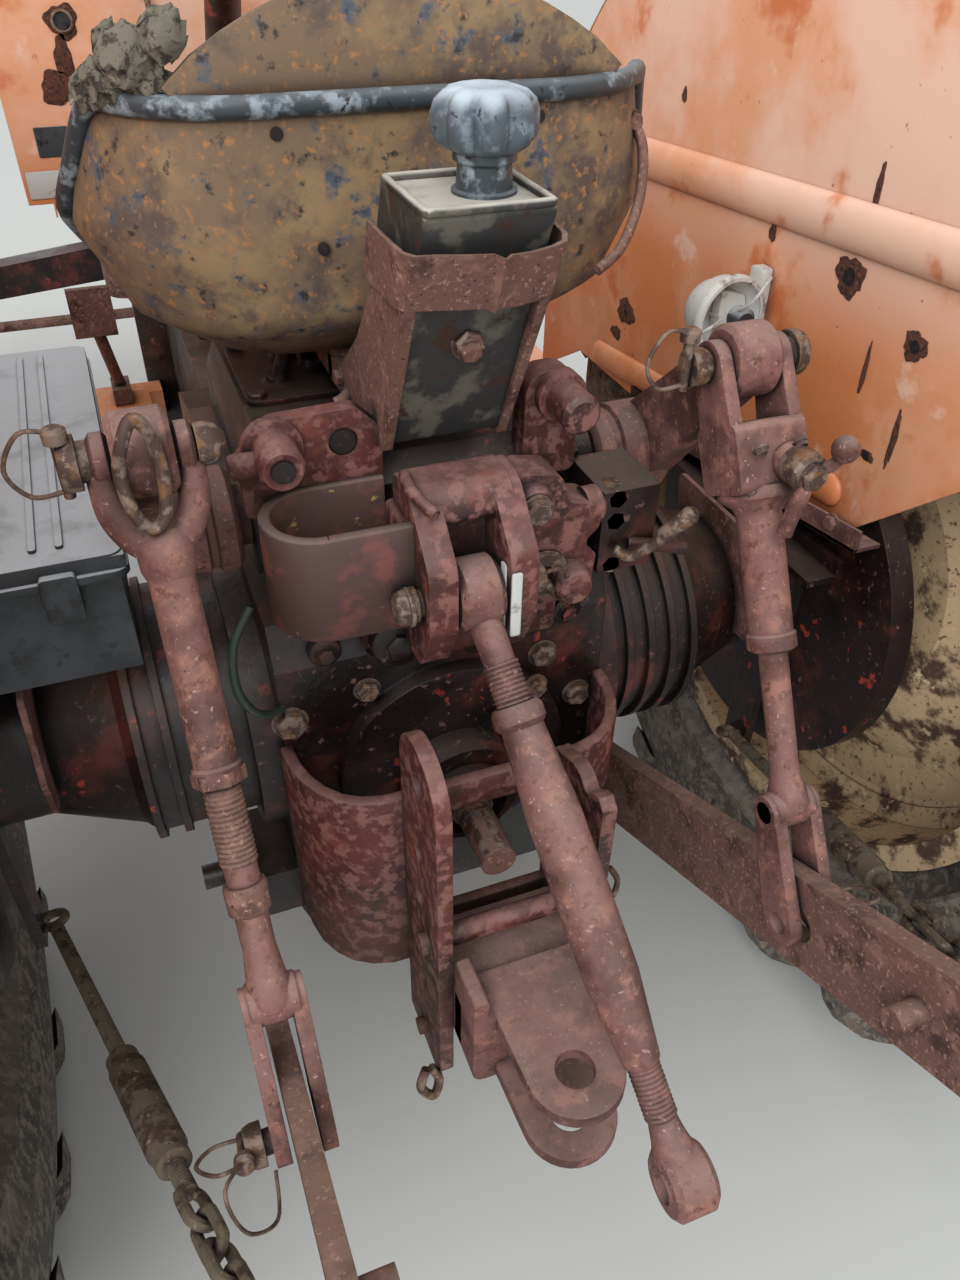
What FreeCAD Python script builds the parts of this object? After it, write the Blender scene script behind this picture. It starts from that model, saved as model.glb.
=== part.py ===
import FreeCAD, Part

import math
import os

import Sketcher
from FreeCAD import Vector

# Farm tractor, old orange utility type, standing on its wheels with the rear linkage raised.
# Millimetres. +X right, +Y forward, +Z up. The origin is on the ground, below the middle of the
# outline. Every sub-part is drawn from the rear axle's line (y = 0) and moved forward or back
# as a whole by rear_axle_y, so that the wheelbase and the overhangs can be changed by themselves.

SIZES = {
    # stance
    "rear_overhang": 875, "wheelbase": 2100, "front_overhang": 470,
    "rear_track": 1374, "front_track": 1380, "ground_gap": 0,
    # rear wheels
    "rear_tyre_radius": 680, "rear_tyre_width": 360, "rear_tread_depth": 38,
    "rear_bead_radius": 382, "rear_flange_radius": 407, "rear_rim_width": 303,
    "rear_well_radius": 345, "rim_wall": 7, "rear_disc_inset": 92, "rear_disc_wall": 10,
    "rear_disc_rise": 50, "rear_hub_radius": 112, "rear_hub_bore": 60, "bead_gap": 0.3,
    # front wheels
    "front_tyre_radius": 395, "front_tyre_width": 195, "front_bead_radius": 206,
    "front_flange_radius": 222, "front_rim_width": 150, "front_well_radius": 180,
    "front_disc_wall": 8, "front_hub_radius": 62, "front_hub_length": 150, "spindle_radius": 22,
    # transmission housing and axle trumpets
    "housing_half": 165, "housing_rear": 150, "housing_front": 450, "housing_bottom": 385,
    "housing_top": 850, "trumpet_flange": 148, "trumpet_flange_wall": 28, "trumpet_root": 128,
    "trumpet_tip": 84, "final_drive_gap": 13, "final_drive_radius": 236, "final_drive_wall": 55,
    "axle_radius": 38, "axle_flange_wall": 22,
    # gearbox, engine
    "gearbox_half": 150, "gearbox_front": 1060, "gearbox_bottom": 430, "gearbox_top": 800,
    "engine_half": 125, "engine_front": 1700, "engine_bottom": 420, "engine_top": 880,
    "head_half": 95, "head_top": 985, "sump_half": 105, "sump_drop": 70,
    "rocker_half": 60, "rocker_top": 1050,
    # lift cover and arms
    "lift_cover_half": 158, "lift_cover_rear": 120, "lift_cover_front": 330, "lift_cover_top": 985,
    "lift_pivot_y": -60, "lift_pivot_z": 925, "lift_shaft_radius": 27, "lift_tip_y": -202,
    "lift_tip_z": 1070, "lift_arm_x": 235, "lift_arm_thick": 26, "lift_arm_tall": 62,
    "lift_boss_radius": 46, "lift_boss_inner": 172, "lift_eye_radius": 30, "pin_radius": 11,
    "pin_gap": 0.05, "side_gap": 1.5,
    # lift rods and lower links
    "link_pivot_y": -62, "link_pivot_z": 465, "link_x": 230, "link_thick": 18, "link_tall": 96,
    "link_length": 820, "link_ball_radius": 45, "link_ball_width": 45, "link_bore": 14.35,
    "chain_anchor_x": 430, "chain_radius": 9,
    "left_rod_foot_y": -454, "left_rod_foot_z": 612, "right_rod_foot_y": -440,
    "right_rod_foot_z": 644, "rod_tube_radius": 26, "rod_screw_radius": 15, "rod_fork_thick": 12,
    "rod_fork_reach": 150, "slot_half": 10.5, "slot_rise": 6,
    # top link
    "top_pin_x": -6, "top_pin_y": -230, "top_pin_z": 918, "top_end_x": 46, "top_end_y": -575,
    "top_end_z": 562, "top_tube_radius": 23, "top_neck_radius": 15, "top_eye_radius": 30,
    "top_eye_width": 38, "top_bore": 12.85, "top_ear_gap": 44, "top_ear_wall": 24,
    # drawbar frame and hitch
    "band_half": 150, "band_front_half": 173, "band_rear": 253, "band_front": 152, "band_wall": 12,
    "band_top": 722, "band_bottom": 477, "band_corner": 32, "band_rise": 110, "band_window_low": 545,
    "band_window_top": 688,
    "hitch_half": 68, "hitch_plate_wall": 14, "hitch_plate_front": 253.3, "hitch_plate_rear": 350,
    "hitch_plate_bottom": 360, "hitch_plate_top": 805, "hitch_jaw_y": -468, "hitch_jaw_bore": 17,
    "hitch_jaw_upper": 568, "hitch_jaw_lower": 493, "hitch_jaw_wall": 16, "hitch_jaw_half": 52,
    # power take-off
    "pto_radius": 17.4, "pto_height": 642, "pto_tip": 289, "pto_guard_radius": 44,
    "pto_guard_rear": 215, "spline_depth": 2.6, "spline_width": 8.7,
    # draft spring and its bracket
    "spring_rear": 220, "spring_front": 130, "spring_wall": 10, "spring_bottom": 891,
    "spring_top": 993, "spring_left": 182, "bracket_front": 165, "bracket_rear": 196,
    "bracket_top": 1005, "bracket_bottom": 848, "bracket_right": 122, "bracket_left": 58,
    # seat
    "seat_half": 238, "seat_base": 1045, "seat_front": 345, "seat_rear": 95, "seat_back_top": 1318,
    "seat_wall": 5, "seat_front_top": 1120, "trim_thick": 9, "trim_high": 14,
    "seat_box_half": 45, "seat_box_depth": 92, "seat_box_foot_z": 1016, "seat_box_top_z": 1217,
    "seat_box_foot_y": -100, "seat_box_top_y": -192, "knob_radius": 47, "knob_high": 44,
    # fenders and platform
    "fender_x": 457, "fender_wall": 4, "fender_radius": 762, "fender_reach": 372,
    "fender_rear_y": -143, "fender_rear_z": 826, "fender_front_y": 560, "fender_front_z": 770,
    "fender_lip": 26, "rib_radius": 12, "platform_z": 590, "platform_front": 1020,
    "platform_wall": 6,
    # hood, cowl and nose
    "hood_half": 285, "hood_wall": 4, "hood_bottom": 1010, "hood_rear": 1030, "hood_front": 2440,
    "hood_rear_top": 1330, "hood_corner": 60, "cowl_rear": 860,
    "cowl_bottom": 960, "nose_bottom": 640, "grille_depth": 26, "slat_wall": 8, "slat_pitch": 34,
    "lamp_radius": 82, "lamp_x": 150, "lamp_z": 1120,
    # radiator, exhaust
    "radiator_half": 225, "radiator_depth": 90, "radiator_rear": 1850, "radiator_bottom": 640,
    "radiator_top": 1190, "fan_radius": 200, "exhaust_radius": 27, "silencer_radius": 62,
    "exhaust_top": 1960, "exhaust_x": 165, "exhaust_y": 1480,
    # steering
    "column_radius": 24, "column_foot_y": 1010, "column_foot_z": 850, "wheel_y": 640, "wheel_z": 1345,
    "steering_radius": 212, "steering_grip": 13, "kingpin_x": 560, "kingpin_radius": 20,
    "steering_arm": 150, "tie_rod_z": 402, "tie_rod_radius": 13, "axle_pivot_z": 500,
    "axle_beam_wide": 70, "axle_beam_tall": 90,
    "bolster_half": 130, "bolster_bottom": 470, "bolster_top": 600, "bumper_depth": 70,
    # rear lamp, battery box, valve
    "rear_lamp_y": 96, "rear_lamp_z": 992, "rear_lamp_radius": 46,
    "box_left": 438, "box_right": 270, "box_rear": 130, "box_front": 290, "box_bottom": 838,
    "box_top": 955,
}

doc = FreeCAD.newDocument("tractor")
sheet = doc.addObject("Spreadsheet::Sheet", "Sizes")


# A size that carries its number and the expression that gives it, so that plain sums of named
# sizes can be bound to the document.
class Size:
    def __init__(self, value, text):
        self.value = float(value)
        self.text = text

    def __add__(self, other):
        other = size(other)
        return Size(self.value + other.value, f"({self.text} + {other.text})")

    def __sub__(self, other):
        other = size(other)
        return Size(self.value - other.value, f"({self.text} - {other.text})")

    def __mul__(self, other):
        other = size(other)
        return Size(self.value * other.value, f"({self.text} * {other.text})")

    def __truediv__(self, other):
        other = size(other)
        return Size(self.value / other.value, f"({self.text} / {other.text})")

    def __radd__(self, other):
        return size(other) + self

    def __rsub__(self, other):
        return size(other) - self

    def __rmul__(self, other):
        return size(other) * self

    def __neg__(self):
        return Size(-self.value, f"(0 - {self.text})")


def size(value):
    if isinstance(value, Size):
        return value
    return Size(value, f"({float(value)!r})" if value < 0 else repr(float(value)))


def root(value):
    return Size(math.sqrt(value.value), f"sqrt({value.text})")


class Named:
    pass


S = Named()
for row, (alias, number) in enumerate(SIZES.items(), start=1):
    sheet.set(f"A{row}", alias)
    sheet.set(f"B{row}", str(number))
    sheet.setAlias(f"B{row}", alias)
    setattr(S, alias, Size(number, f"Sizes.{alias}"))
doc.recompute()

rear_axle_y = (S.rear_overhang - S.wheelbase - S.front_overhang) / 2
AXIS_TURN = {
    "X": "rotation(vector(0; 1; 0); 90)",
    "Y": "rotation(vector(1; 0; 0); -90)",
    "Z": "rotation(vector(0; 0; 1); 0)",
}
NODES = []


def put(thing, at=(0, 0, 0), turn="rotation(vector(0; 0; 1); 0)"):
    place = "; ".join(size(part).text for part in at)
    thing.setExpression("Placement", f"placement(vector({place}); {turn})")
    return thing


def add(kind, **formulas):
    thing = doc.addObject(kind, kind.split("::")[1])
    for name, value in formulas.items():
        thing.setExpression(name, size(value).text)
    return thing


# A box from its low and high ends along each axis.
def block(x, y, z):
    thing = add("Part::Box", Length=size(x[1]) - x[0], Width=size(y[1]) - y[0],
                Height=size(z[1]) - z[0])
    return put(thing, (x[0], y[0], z[0]))


# A cylinder along an axis, from its middle point.
def drum(axis, centre, radius, length):
    thing = add("Part::Cylinder", Radius=radius, Height=length)
    start = [size(part) for part in centre]
    number = "XYZ".index(axis)
    start[number] = start[number] - size(length) / 2
    return put(thing, start, AXIS_TURN[axis])


def cone(axis, start, radius_start, radius_end, length):
    thing = add("Part::Cone", Radius1=radius_start, Radius2=radius_end, Height=length)
    return put(thing, start, AXIS_TURN[axis])


def ball(centre, radius):
    return put(add("Part::Sphere", Radius=radius), centre)


def ring(axis, centre, radius, grip):
    return put(add("Part::Torus", Radius1=radius, Radius2=grip), centre, AXIS_TURN[axis])


# The turn that points a shape's own Z from start to end.
def aim(start, end):
    run = [size(b) - a for a, b in zip(start, end)]
    flat_run = root(run[0] * run[0] + run[1] * run[1] + 1e-9)
    side = f"vector({(-run[1]).text}; {run[0].text}; 0)"
    length = root(run[0] * run[0] + run[1] * run[1] + run[2] * run[2])
    return f"rotation({side}; atan2({flat_run.text}; {run[2].text}))", length


# A round bar between two points.
def bar(start, end, radius):
    turn, length = aim(start, end)
    return put(add("Part::Cylinder", Radius=radius, Height=length), start, turn)


def taper(start, end, radius_start, radius_end):
    turn, length = aim(start, end)
    thing = add("Part::Cone", Radius1=radius_start, Radius2=radius_end, Height=length)
    return put(thing, start, turn)


# A flat bar between two points in a plane of constant x: thick along X, tall across its run.
def strap(x, start, end, thick, tall):
    run = (size(end[0]) - start[0], size(end[1]) - start[1])
    length = root(run[0] * run[0] + run[1] * run[1])
    thing = add("Part::Box", Length=thick, Width=tall, Height=length)
    # the box starts at a corner, so its corner lies half a thickness and half a height aside
    side = (run[1] / length * tall / 2, -run[0] / length * tall / 2)
    corner = (size(x) - size(thick) / 2, size(start[0]) - side[0], size(start[1]) - side[1])
    return put(thing, corner, f"rotation(vector(-1; 0; 0); atan2({run[0].text}; {run[1].text}))")


# A point on the line between two points in a plane of constant x.
def along(start, end, share):
    return (size(start[0]) + (size(end[0]) - start[0]) * share,
            size(start[1]) + (size(end[1]) - start[1]) * share)


# Adds a closed outline to a sketch: rows are (across, up) for a straight edge to that point, or
# (across, up, radius) for an arc to it, turning left with a positive radius.
def draw(sketch, outline):
    points = [(size(row[0]), size(row[1])) for row in outline]
    count = len(points)
    base = sketch.GeometryCount
    ends = []
    for number, row in enumerate(outline):
        before = points[number - 1]
        start = Vector(before[0].value, before[1].value, 0)
        end = Vector(points[number][0].value, points[number][1].value, 0)
        if len(row) == 2:
            sketch.addGeometry(Part.LineSegment(start, end), False)
            ends.append((1, 2))
            continue
        radius = size(row[2]).value
        chord = end - start
        left = Vector(-chord.y, chord.x, 0).normalize()
        reach = math.sqrt(max(radius * radius - chord.Length ** 2 / 4, 0))
        centre = (start + end) * 0.5 + left * math.copysign(reach, radius)
        first, last = (start, end) if radius > 0 else (end, start)
        angles = [math.atan2(spot.y - centre.y, spot.x - centre.x) for spot in (first, last)]
        if angles[1] < angles[0]:
            angles[1] += 2 * math.pi
        circle = Part.Circle(centre, Vector(0, 0, 1), abs(radius))
        sketch.addGeometry(Part.ArcOfCircle(circle, angles[0], angles[1]), False)
        ends.append((1, 2) if radius > 0 else (2, 1))
    rules = [Sketcher.Constraint("Coincident", base + number, ends[number][1],
                                 base + (number + 1) % count, ends[(number + 1) % count][0])
             for number in range(count)]
    sketch.addConstraint(rules)

    def tie(kind, value, *where):
        rule = sketch.addConstraint(Sketcher.Constraint(kind, *where, value.value))
        sketch.setExpression(f"Constraints[{rule}]", value.text)

    for number, row in enumerate(outline):
        across, up = points[number]
        tie("DistanceX", across, -1, 1, base + number, ends[number][1])
        tie("DistanceY", up, -1, 1, base + number, ends[number][1])
        if len(row) == 2:
            continue
        radius = size(row[2])
        before = points[number - 1]
        chord = Vector((across - before[0]).value, (up - before[1]).value, 0)
        if abs(2 * abs(radius.value) - chord.Length) > 1e-6:
            tie("Radius", radius if radius.value > 0 else -radius, base + number)
        elif abs(chord.x) < abs(chord.y):
            tie("DistanceX", (across + before[0]) / 2, -1, 1, base + number, 3)
        else:
            tie("DistanceY", (up + before[1]) / 2, -1, 1, base + number, 3)


def sketched(plane, outlines):
    body = doc.addObject("PartDesign::Body", "Body")
    sketch = body.newObject("Sketcher::SketchObject", "Outline")
    role = plane + "_Plane"
    origin = [feature for feature in body.Origin.OriginFeatures if feature.Role == role][0]
    sketch.AttachmentSupport = [(origin, "")]
    sketch.MapMode = "FlatFace"
    for outline in outlines:
        draw(sketch, outline)
    return body, sketch


# A plate: one or more outlines in a plane (YZ reads y, z; XZ reads x, z; XY reads x, y),
# padded to both sides of a point on the plane's own axis.
def plate(plane, outline, low, high, *holes):
    body, sketch = sketched(plane, [outline, *holes])
    pad = body.newObject("PartDesign::Pad", "Pad")
    pad.Profile = sketch
    pad.Midplane = True
    pad.setExpression("Length", (size(high) - low).text)
    middle = (size(high) + low) / 2
    at = {"YZ": (middle, 0, 0), "XZ": (0, middle, 0), "XY": (0, 0, middle)}[plane]
    return put(body, at)


# A turned piece: rows are (along the axis, radius), about an axis through a point.
def turned(axis, outline, centre):
    plane = {"X": "XZ", "Y": "XY", "Z": "XZ"}[axis]
    if axis == "X":
        rows = [outline]
    else:
        rows = [[(row[1], row[0], *(-size(part) for part in row[2:])) for row in outline]]
    body, sketch = sketched(plane, rows)
    turn = body.newObject("PartDesign::Revolution", "Revolution")
    turn.Profile = sketch
    turn.ReferenceAxis = (sketch, ["H_Axis" if axis == "X" else "V_Axis"])
    turn.Angle = 360
    return put(body, centre)


def fuse(*shapes):
    if len(shapes) == 1:
        return shapes[0]
    joined = doc.addObject("Part::MultiFuse", "Joined")
    joined.Shapes = list(shapes)
    return joined


def cut(base, *tools):
    drilled = doc.addObject("Part::Cut", "Drilled")
    drilled.Base = base
    drilled.Tool = fuse(*tools)
    return drilled


def mirror(shape):
    other = doc.addObject("Part::Mirroring", "Mirrored")
    other.Source = shape
    other.Normal = Vector(1, 0, 0)
    return other


# Like pieces on the chassis: the right one as drawn, the left one mirrored.
def both(solid):
    return [solid, mirror(solid)]


def node(label, *solids):
    piece = doc.addObject("Part::Compound", "Node")
    piece.Label = label
    piece.Links = list(solids)
    put(piece, (0, rear_axle_y, 0))
    NODES.append(piece)
    return piece


# Rear tyre: carcass turned about the axle, lugs' tips at the full radius.
def rear_tyre():
    half = S.rear_tyre_width / 2
    bead = S.rear_bead_radius + S.bead_gap
    seat = S.rear_rim_width / 2 - S.rim_wall - S.bead_gap
    crown = S.rear_tyre_radius
    outline = [
        (-seat, bead),
        (seat, bead),
        (seat, S.rear_flange_radius + 8),
        (half, S.rear_tyre_radius - 165, 175),
        (half - 12, crown - 45, 260),
        (half - 50, crown - 8, 60),
        (50 - half, crown - 8, 900),
        (12 - half, crown - 45, 60),
        (-half, S.rear_tyre_radius - 165, 260),
        (-seat, S.rear_flange_radius + 8, 175),
    ]
    return turned("X", outline, (S.rear_track / 2, 0, S.rear_tyre_radius))


# Rear rim with its drop centre, flanges, dished disc and hub, as one welded piece.
def rear_rim():
    half = S.rear_rim_width / 2
    wall = S.rim_wall
    bead = S.rear_bead_radius
    well = S.rear_well_radius
    ring_outline = [
        (-half, bead - wall), (-70, bead - wall), (-52, well), (52, well), (70, bead - wall),
        (half, bead - wall), (half, S.rear_flange_radius), (half - wall, S.rear_flange_radius),
        (half - wall, bead), (78, bead), (60, well + wall), (-60, well + wall), (-78, bead),
        (wall - half, bead), (wall - half, S.rear_flange_radius), (-half, S.rear_flange_radius),
    ]
    inset = S.rear_disc_inset
    thick = S.rear_disc_wall
    disc_outline = [
        (-inset, S.rear_hub_bore), (-inset, 190), (S.rear_disc_rise - inset, 285),
        (S.rear_disc_rise - inset, well + 3), (S.rear_disc_rise - inset - thick, well + 3),
        (S.rear_disc_rise - inset - thick, 289), (-inset - thick, 194),
        (-inset - thick, S.rear_hub_bore),
    ]
    centre = (S.rear_track / 2, 0, S.rear_tyre_radius)
    return fuse(turned("X", ring_outline, centre), turned("X", disc_outline, centre))


# Front tyre: carcass with a rounded ribbed crown.
def front_tyre():
    half = S.front_tyre_width / 2
    bead = S.front_bead_radius + S.bead_gap
    seat = S.front_rim_width / 2 - S.rim_wall - S.bead_gap
    top = S.front_tyre_radius
    outline = [
        (-seat, bead), (seat, bead), (seat, S.front_flange_radius + 6), (half, top - 85, 95),
        (half - 18, top - 28, 120), (half - 42, top - 12, 30), (52, top - 12), (48, top - 3),
        (24, top - 2), (20, top - 12), (12, top - 12), (9, top), (-9, top), (-12, top - 12),
        (-20, top - 12), (-24, top - 2), (-48, top - 3), (-52, top - 12),
        (42 - half, top - 12), (18 - half, top - 28, 30), (-half, top - 85, 120),
        (-seat, S.front_flange_radius + 6, 95),
    ]
    return turned("X", outline, (S.front_track / 2, S.wheelbase, S.front_tyre_radius))


def front_rim():
    half = S.front_rim_width / 2
    wall = S.rim_wall
    bead = S.front_bead_radius
    well = S.front_well_radius
    ring_outline = [
        (-half, bead - wall), (-34, bead - wall), (-26, well), (26, well), (34, bead - wall),
        (half, bead - wall), (half, S.front_flange_radius), (half - wall, S.front_flange_radius),
        (half - wall, bead), (42, bead), (32, well + wall), (-32, well + wall), (-42, bead),
        (wall - half, bead), (wall - half, S.front_flange_radius),
        (-half, S.front_flange_radius),
    ]
    thick = S.front_disc_wall
    bore = S.front_hub_radius - 14
    disc_outline = [
        (20, bore), (20, 110), (0, 140), (0, well + 3), (-thick, well + 3), (-thick, 136),
        (20 - thick, 106), (20 - thick, bore),
    ]
    centre = (S.front_track / 2, S.wheelbase, S.front_tyre_radius)
    return fuse(turned("X", ring_outline, centre), turned("X", disc_outline, centre))


# Hub of a front wheel with its grease cap, bored for the spindle.
def front_hub():
    inner = -52
    bore = S.spindle_radius + 0.05
    outline = [
        (inner, bore), (inner, S.front_hub_radius - 12), (-10, S.front_hub_radius - 16),
        (20 - S.front_disc_wall, S.front_hub_radius - 14.5), (20 - S.front_disc_wall, 46),
        (19.9, 46), (20.1, 46), (20.1, S.front_hub_radius + 20), (32, S.front_hub_radius + 20),
        (32, 44), (70, 36), (78, 30), (78, 0), (60, 0), (60, bore),
    ]
    outline = [
        (inner, bore), (inner, S.front_hub_radius - 12),
        (12, S.front_hub_radius - 14.5), (20.3, S.front_hub_radius - 14.5),
        (20.3, S.front_hub_radius + 26), (34, S.front_hub_radius + 26),
        (34, 44), (70, 36), (80, 28), (80, 0), (66, 0), (66, bore),
    ]
    return turned("X", outline, (S.front_track / 2, S.wheelbase, S.front_tyre_radius))


# Axle shaft of a rear wheel: flange against the disc, pilot through it, stub into the final drive.
def rear_axle():
    inset = S.rear_disc_inset
    face = -inset - S.rear_disc_wall - 0.3
    outline = [
        (-210, 0), (-210, S.axle_radius), (face - S.axle_flange_wall - 12, S.axle_radius),
        (face - S.axle_flange_wall, S.rear_hub_radius - 24), (face - S.axle_flange_wall, S.rear_hub_radius),
        (face, S.rear_hub_radius), (face, S.rear_hub_bore - 0.5), (30 - inset, S.rear_hub_bore - 0.5),
        (42 - inset, S.rear_hub_bore - 14), (42 - inset, 0),
    ]
    return turned("X", outline, (S.rear_track / 2, 0, S.rear_tyre_radius))


# Right axle trumpet: bolting flange, ribbed brake housing, tapering tube, round final drive.
def axle_trumpet():
    root_x = S.housing_half
    wall = S.trumpet_flange_wall
    end = S.fender_x + S.final_drive_gap
    drive = S.final_drive_radius
    thick = S.final_drive_wall
    outline = [
        (root_x, 0), (root_x, S.trumpet_flange), (root_x + wall, S.trumpet_flange),
        (root_x + wall, S.trumpet_root), (root_x + 130, S.trumpet_root),
        (root_x + 142, S.trumpet_root - 12), (end - 80, S.trumpet_tip), (end, S.trumpet_tip),
        (end, drive), (end + thick - 26, drive), (end + thick, drive - 30),
        (end + thick, 92), (end + thick + 14, 84), (end + thick + 14, S.axle_radius + S.pin_gap),
        (end - 40, S.axle_radius + S.pin_gap), (end - 40, 0),
    ]
    centre = (0, 0, S.rear_tyre_radius)
    tube = turned("X", outline, centre)
    rib_x = [root_x + wall + 22 + 26 * number for number in range(4)]
    ribs = [drum("X", (x, 0, S.rear_tyre_radius), S.trumpet_root + 8, 8) for x in rib_x]
    return fuse(tube, *ribs)


# Transmission housing: waisted casting, rear cover with the shaft boss, side ribs.
def rear_housing():
    half = S.housing_half
    low = S.housing_bottom
    top = S.housing_top
    outline = [
        (low, 0 - 1), (low, 1),
    ]
    outline = [
        (-S.housing_rear, low + 70), (70 - S.housing_rear, low), (S.housing_front, low + 25),
        (S.housing_front, top - 30), (S.lift_cover_front, top), (20 - S.housing_rear, top),
        (-S.housing_rear, top - 40),
    ]
    shell = plate("YZ", outline, -half, half)
    cover = drum("Y", (0, -S.housing_rear, S.pto_height + 20), 118, 36)
    boss = drum("Y", (0, -S.housing_rear - 24, S.pto_height), 62, 50)
    bore = drum("Y", (0, -S.housing_rear, S.pto_height), S.pto_radius + S.pin_gap + 4, 200)
    return cut(fuse(shell, cover, boss), bore)


def gearbox():
    half = S.gearbox_half
    rear = S.housing_front
    front = S.gearbox_front
    outline = [
        (rear, -half - 10), (rear, half + 10), (rear + 26, half + 10), (rear + 26, half - 20),
        (front - 60, half - 20), (front - 26, half + 30), (front, half + 30),
        (front, -half - 30), (front - 26, -half - 30), (front - 60, 20 - half),
        (rear + 26, 20 - half), (rear + 26, -half - 10),
    ]
    outline = [(row[1], row[0]) for row in outline]
    case = plate("XY", outline, S.gearbox_bottom, S.gearbox_top)
    lid = block((-88, 88), (rear + 60, front - 120), (S.gearbox_top, S.gearbox_top + 26))
    return fuse(case, lid)


# Engine: one closed block with its sump, head and rocker cover.
def engine():
    rear = S.gearbox_front
    front = S.engine_front
    half = S.engine_half
    block_body = block((-half, half), (rear, front), (S.engine_bottom + S.sump_drop, S.engine_top))
    sump = block((-S.sump_half, S.sump_half), (rear + 30, front - 30),
                 (S.engine_bottom, S.engine_bottom + S.sump_drop))
    head = block((-S.head_half, S.head_half), (rear + 50, front - 20), (S.engine_top, S.head_top))
    cover = block((-S.rocker_half, S.rocker_half), (rear + 80, front - 50),
                  (S.head_top, S.rocker_top))
    timing = block((20 - half, half - 20), (front, front + 40),
                   (S.engine_bottom + S.sump_drop, S.engine_top - 60))
    return fuse(block_body, sump, head, cover, timing)


# What hangs on the engine: inlet and exhaust manifolds, injection pump, filters, starter.
def engine_fittings():
    half = S.engine_half
    rear = S.gearbox_front
    side = S.head_half
    top = (S.engine_top + S.head_top) / 2
    manifold = block((side, side + 62), (rear + 90, S.engine_front - 60), (top - 26, top + 26))
    outlet = drum("Z", (S.exhaust_x - 18, S.exhaust_y, top + 34), S.exhaust_radius + 8, 60)
    right = fuse(manifold, outlet)
    pump = block((-half - 86, -half), (rear + 260, rear + 440), (S.engine_top - 210, S.engine_top - 80))
    filters = [drum("Z", (-half - 52, rear + 110 + 90 * number, S.engine_top - 90), 38, 150)
               for number in range(2)]
    bridge = block((-half - 52, -half), (rear + 90, rear + 220), (S.engine_top - 60, S.engine_top - 34))
    left = fuse(pump, *filters, bridge)
    starter = drum("Y", (half + 52, rear + 150, S.engine_bottom + 190), 48, 240)
    starter_foot = block((half, half + 52), (rear + 60, rear + 110),
                         (S.engine_bottom + 160, S.engine_bottom + 220))
    dynamo = drum("Y", (half + 66, S.engine_front - 110, S.engine_top - 130), 55, 180)
    dynamo_foot = block((half, half + 60), (S.engine_front - 160, S.engine_front - 80),
                        (S.engine_top - 150, S.engine_top - 110))
    return [right, left, fuse(starter, starter_foot), fuse(dynamo, dynamo_foot)]


def lift_cover():
    half = S.lift_cover_half
    outline = [
        (-S.lift_cover_rear, S.housing_top), (S.lift_cover_front, S.housing_top),
        (S.lift_cover_front, S.housing_top + 50), (S.lift_cover_front - 130, S.lift_cover_top),
        (20 - S.lift_cover_rear, S.lift_cover_top), (-S.lift_cover_rear, S.lift_cover_top - 20),
    ]
    case = plate("YZ", outline, 22 - half, half - 22)
    bosses = drum("X", (0, S.lift_pivot_y, S.lift_pivot_z), 54, half * 2)
    bore = drum("X", (0, S.lift_pivot_y, S.lift_pivot_z), S.lift_shaft_radius + S.pin_gap, half * 2 + 4)
    return cut(fuse(case, bosses), bore)


# Cross shaft with both lift arms: cranked flat arms that end in a ball eye.
def lift_arms():
    pivot = (S.lift_pivot_y, S.lift_pivot_z)
    tip = (S.lift_tip_y, S.lift_tip_z)
    x = S.lift_arm_x
    shaft = drum("X", (0, *pivot), S.lift_shaft_radius, S.lift_boss_inner * 2 + 150)
    arms = []
    for side in (-1, 1):
        boss_x = side * (S.lift_boss_inner + 38)
        arms.append(drum("X", (boss_x, *pivot), S.lift_boss_radius, 76))
        arms.append(strap(side * x, pivot, tip, S.lift_arm_thick, S.lift_arm_tall - 6))
        arms.append(drum("X", (side * x, *tip), S.lift_eye_radius, 40))
    bores = [drum("X", (side * x, *tip), S.pin_radius + S.pin_gap, 120) for side in (-1, 1)]
    return cut(fuse(shaft, *arms), *bores)


# Lift rod: forked head with its pin, tube, screw and a long forked foot with its pin.
def lift_rod(side, foot):
    head = (S.lift_tip_y, S.lift_tip_z)
    x = side * S.lift_arm_x
    gap = 20 + S.side_gap
    wall = S.rod_fork_thick
    near = along(head, foot, 0.17)
    neck = along(head, foot, 0.22)
    mid = along(head, foot, 0.58)
    low = along(head, foot, 0.72)
    pieces = []
    for cheek in (-1, 1):
        cheek_x = x + cheek * (gap + wall / 2)
        pieces.append(strap(cheek_x, head, near, wall, 44))
        pieces.append(drum("X", (cheek_x, *head), 24, wall))
    pieces.append(strap(x, near, neck, gap * 2 + wall * 2, 44))
    pieces.append(bar((x, *neck), (x, *mid), S.rod_tube_radius))
    pieces.append(bar((x, *mid), (x, *low), S.rod_screw_radius))
    pieces.append(drum("X", (x, *head), S.pin_radius, gap * 2 + wall * 2 + 16))
    foot_x = side * S.link_x
    foot_gap = S.link_thick / 2 + 3
    crown = along(head, foot, 0.78)
    for cheek in (-1, 1):
        cheek_x = foot_x + cheek * (foot_gap + wall / 2)
        pieces.append(strap(cheek_x, crown, foot, wall, 40))
        pieces.append(drum("X", (cheek_x, *foot), 26, wall))
    pieces.append(strap(foot_x, low, crown, foot_gap * 2 + wall * 2, 40))
    pieces.append(drum("X", (foot_x, *foot), S.pin_radius, foot_gap * 2 + wall * 2 + 16))
    return fuse(*pieces)


# Direction of a lower link in its plane, through its pivot and the lift rod's foot.
def link_end(foot):
    pivot = (S.link_pivot_y, S.link_pivot_z)
    run = (foot[0] - pivot[0], foot[1] - pivot[1])
    length = root(run[0] * run[0] + run[1] * run[1])
    return (pivot[0] + run[0] / length * S.link_length, pivot[1] + run[1] / length * S.link_length)


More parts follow.
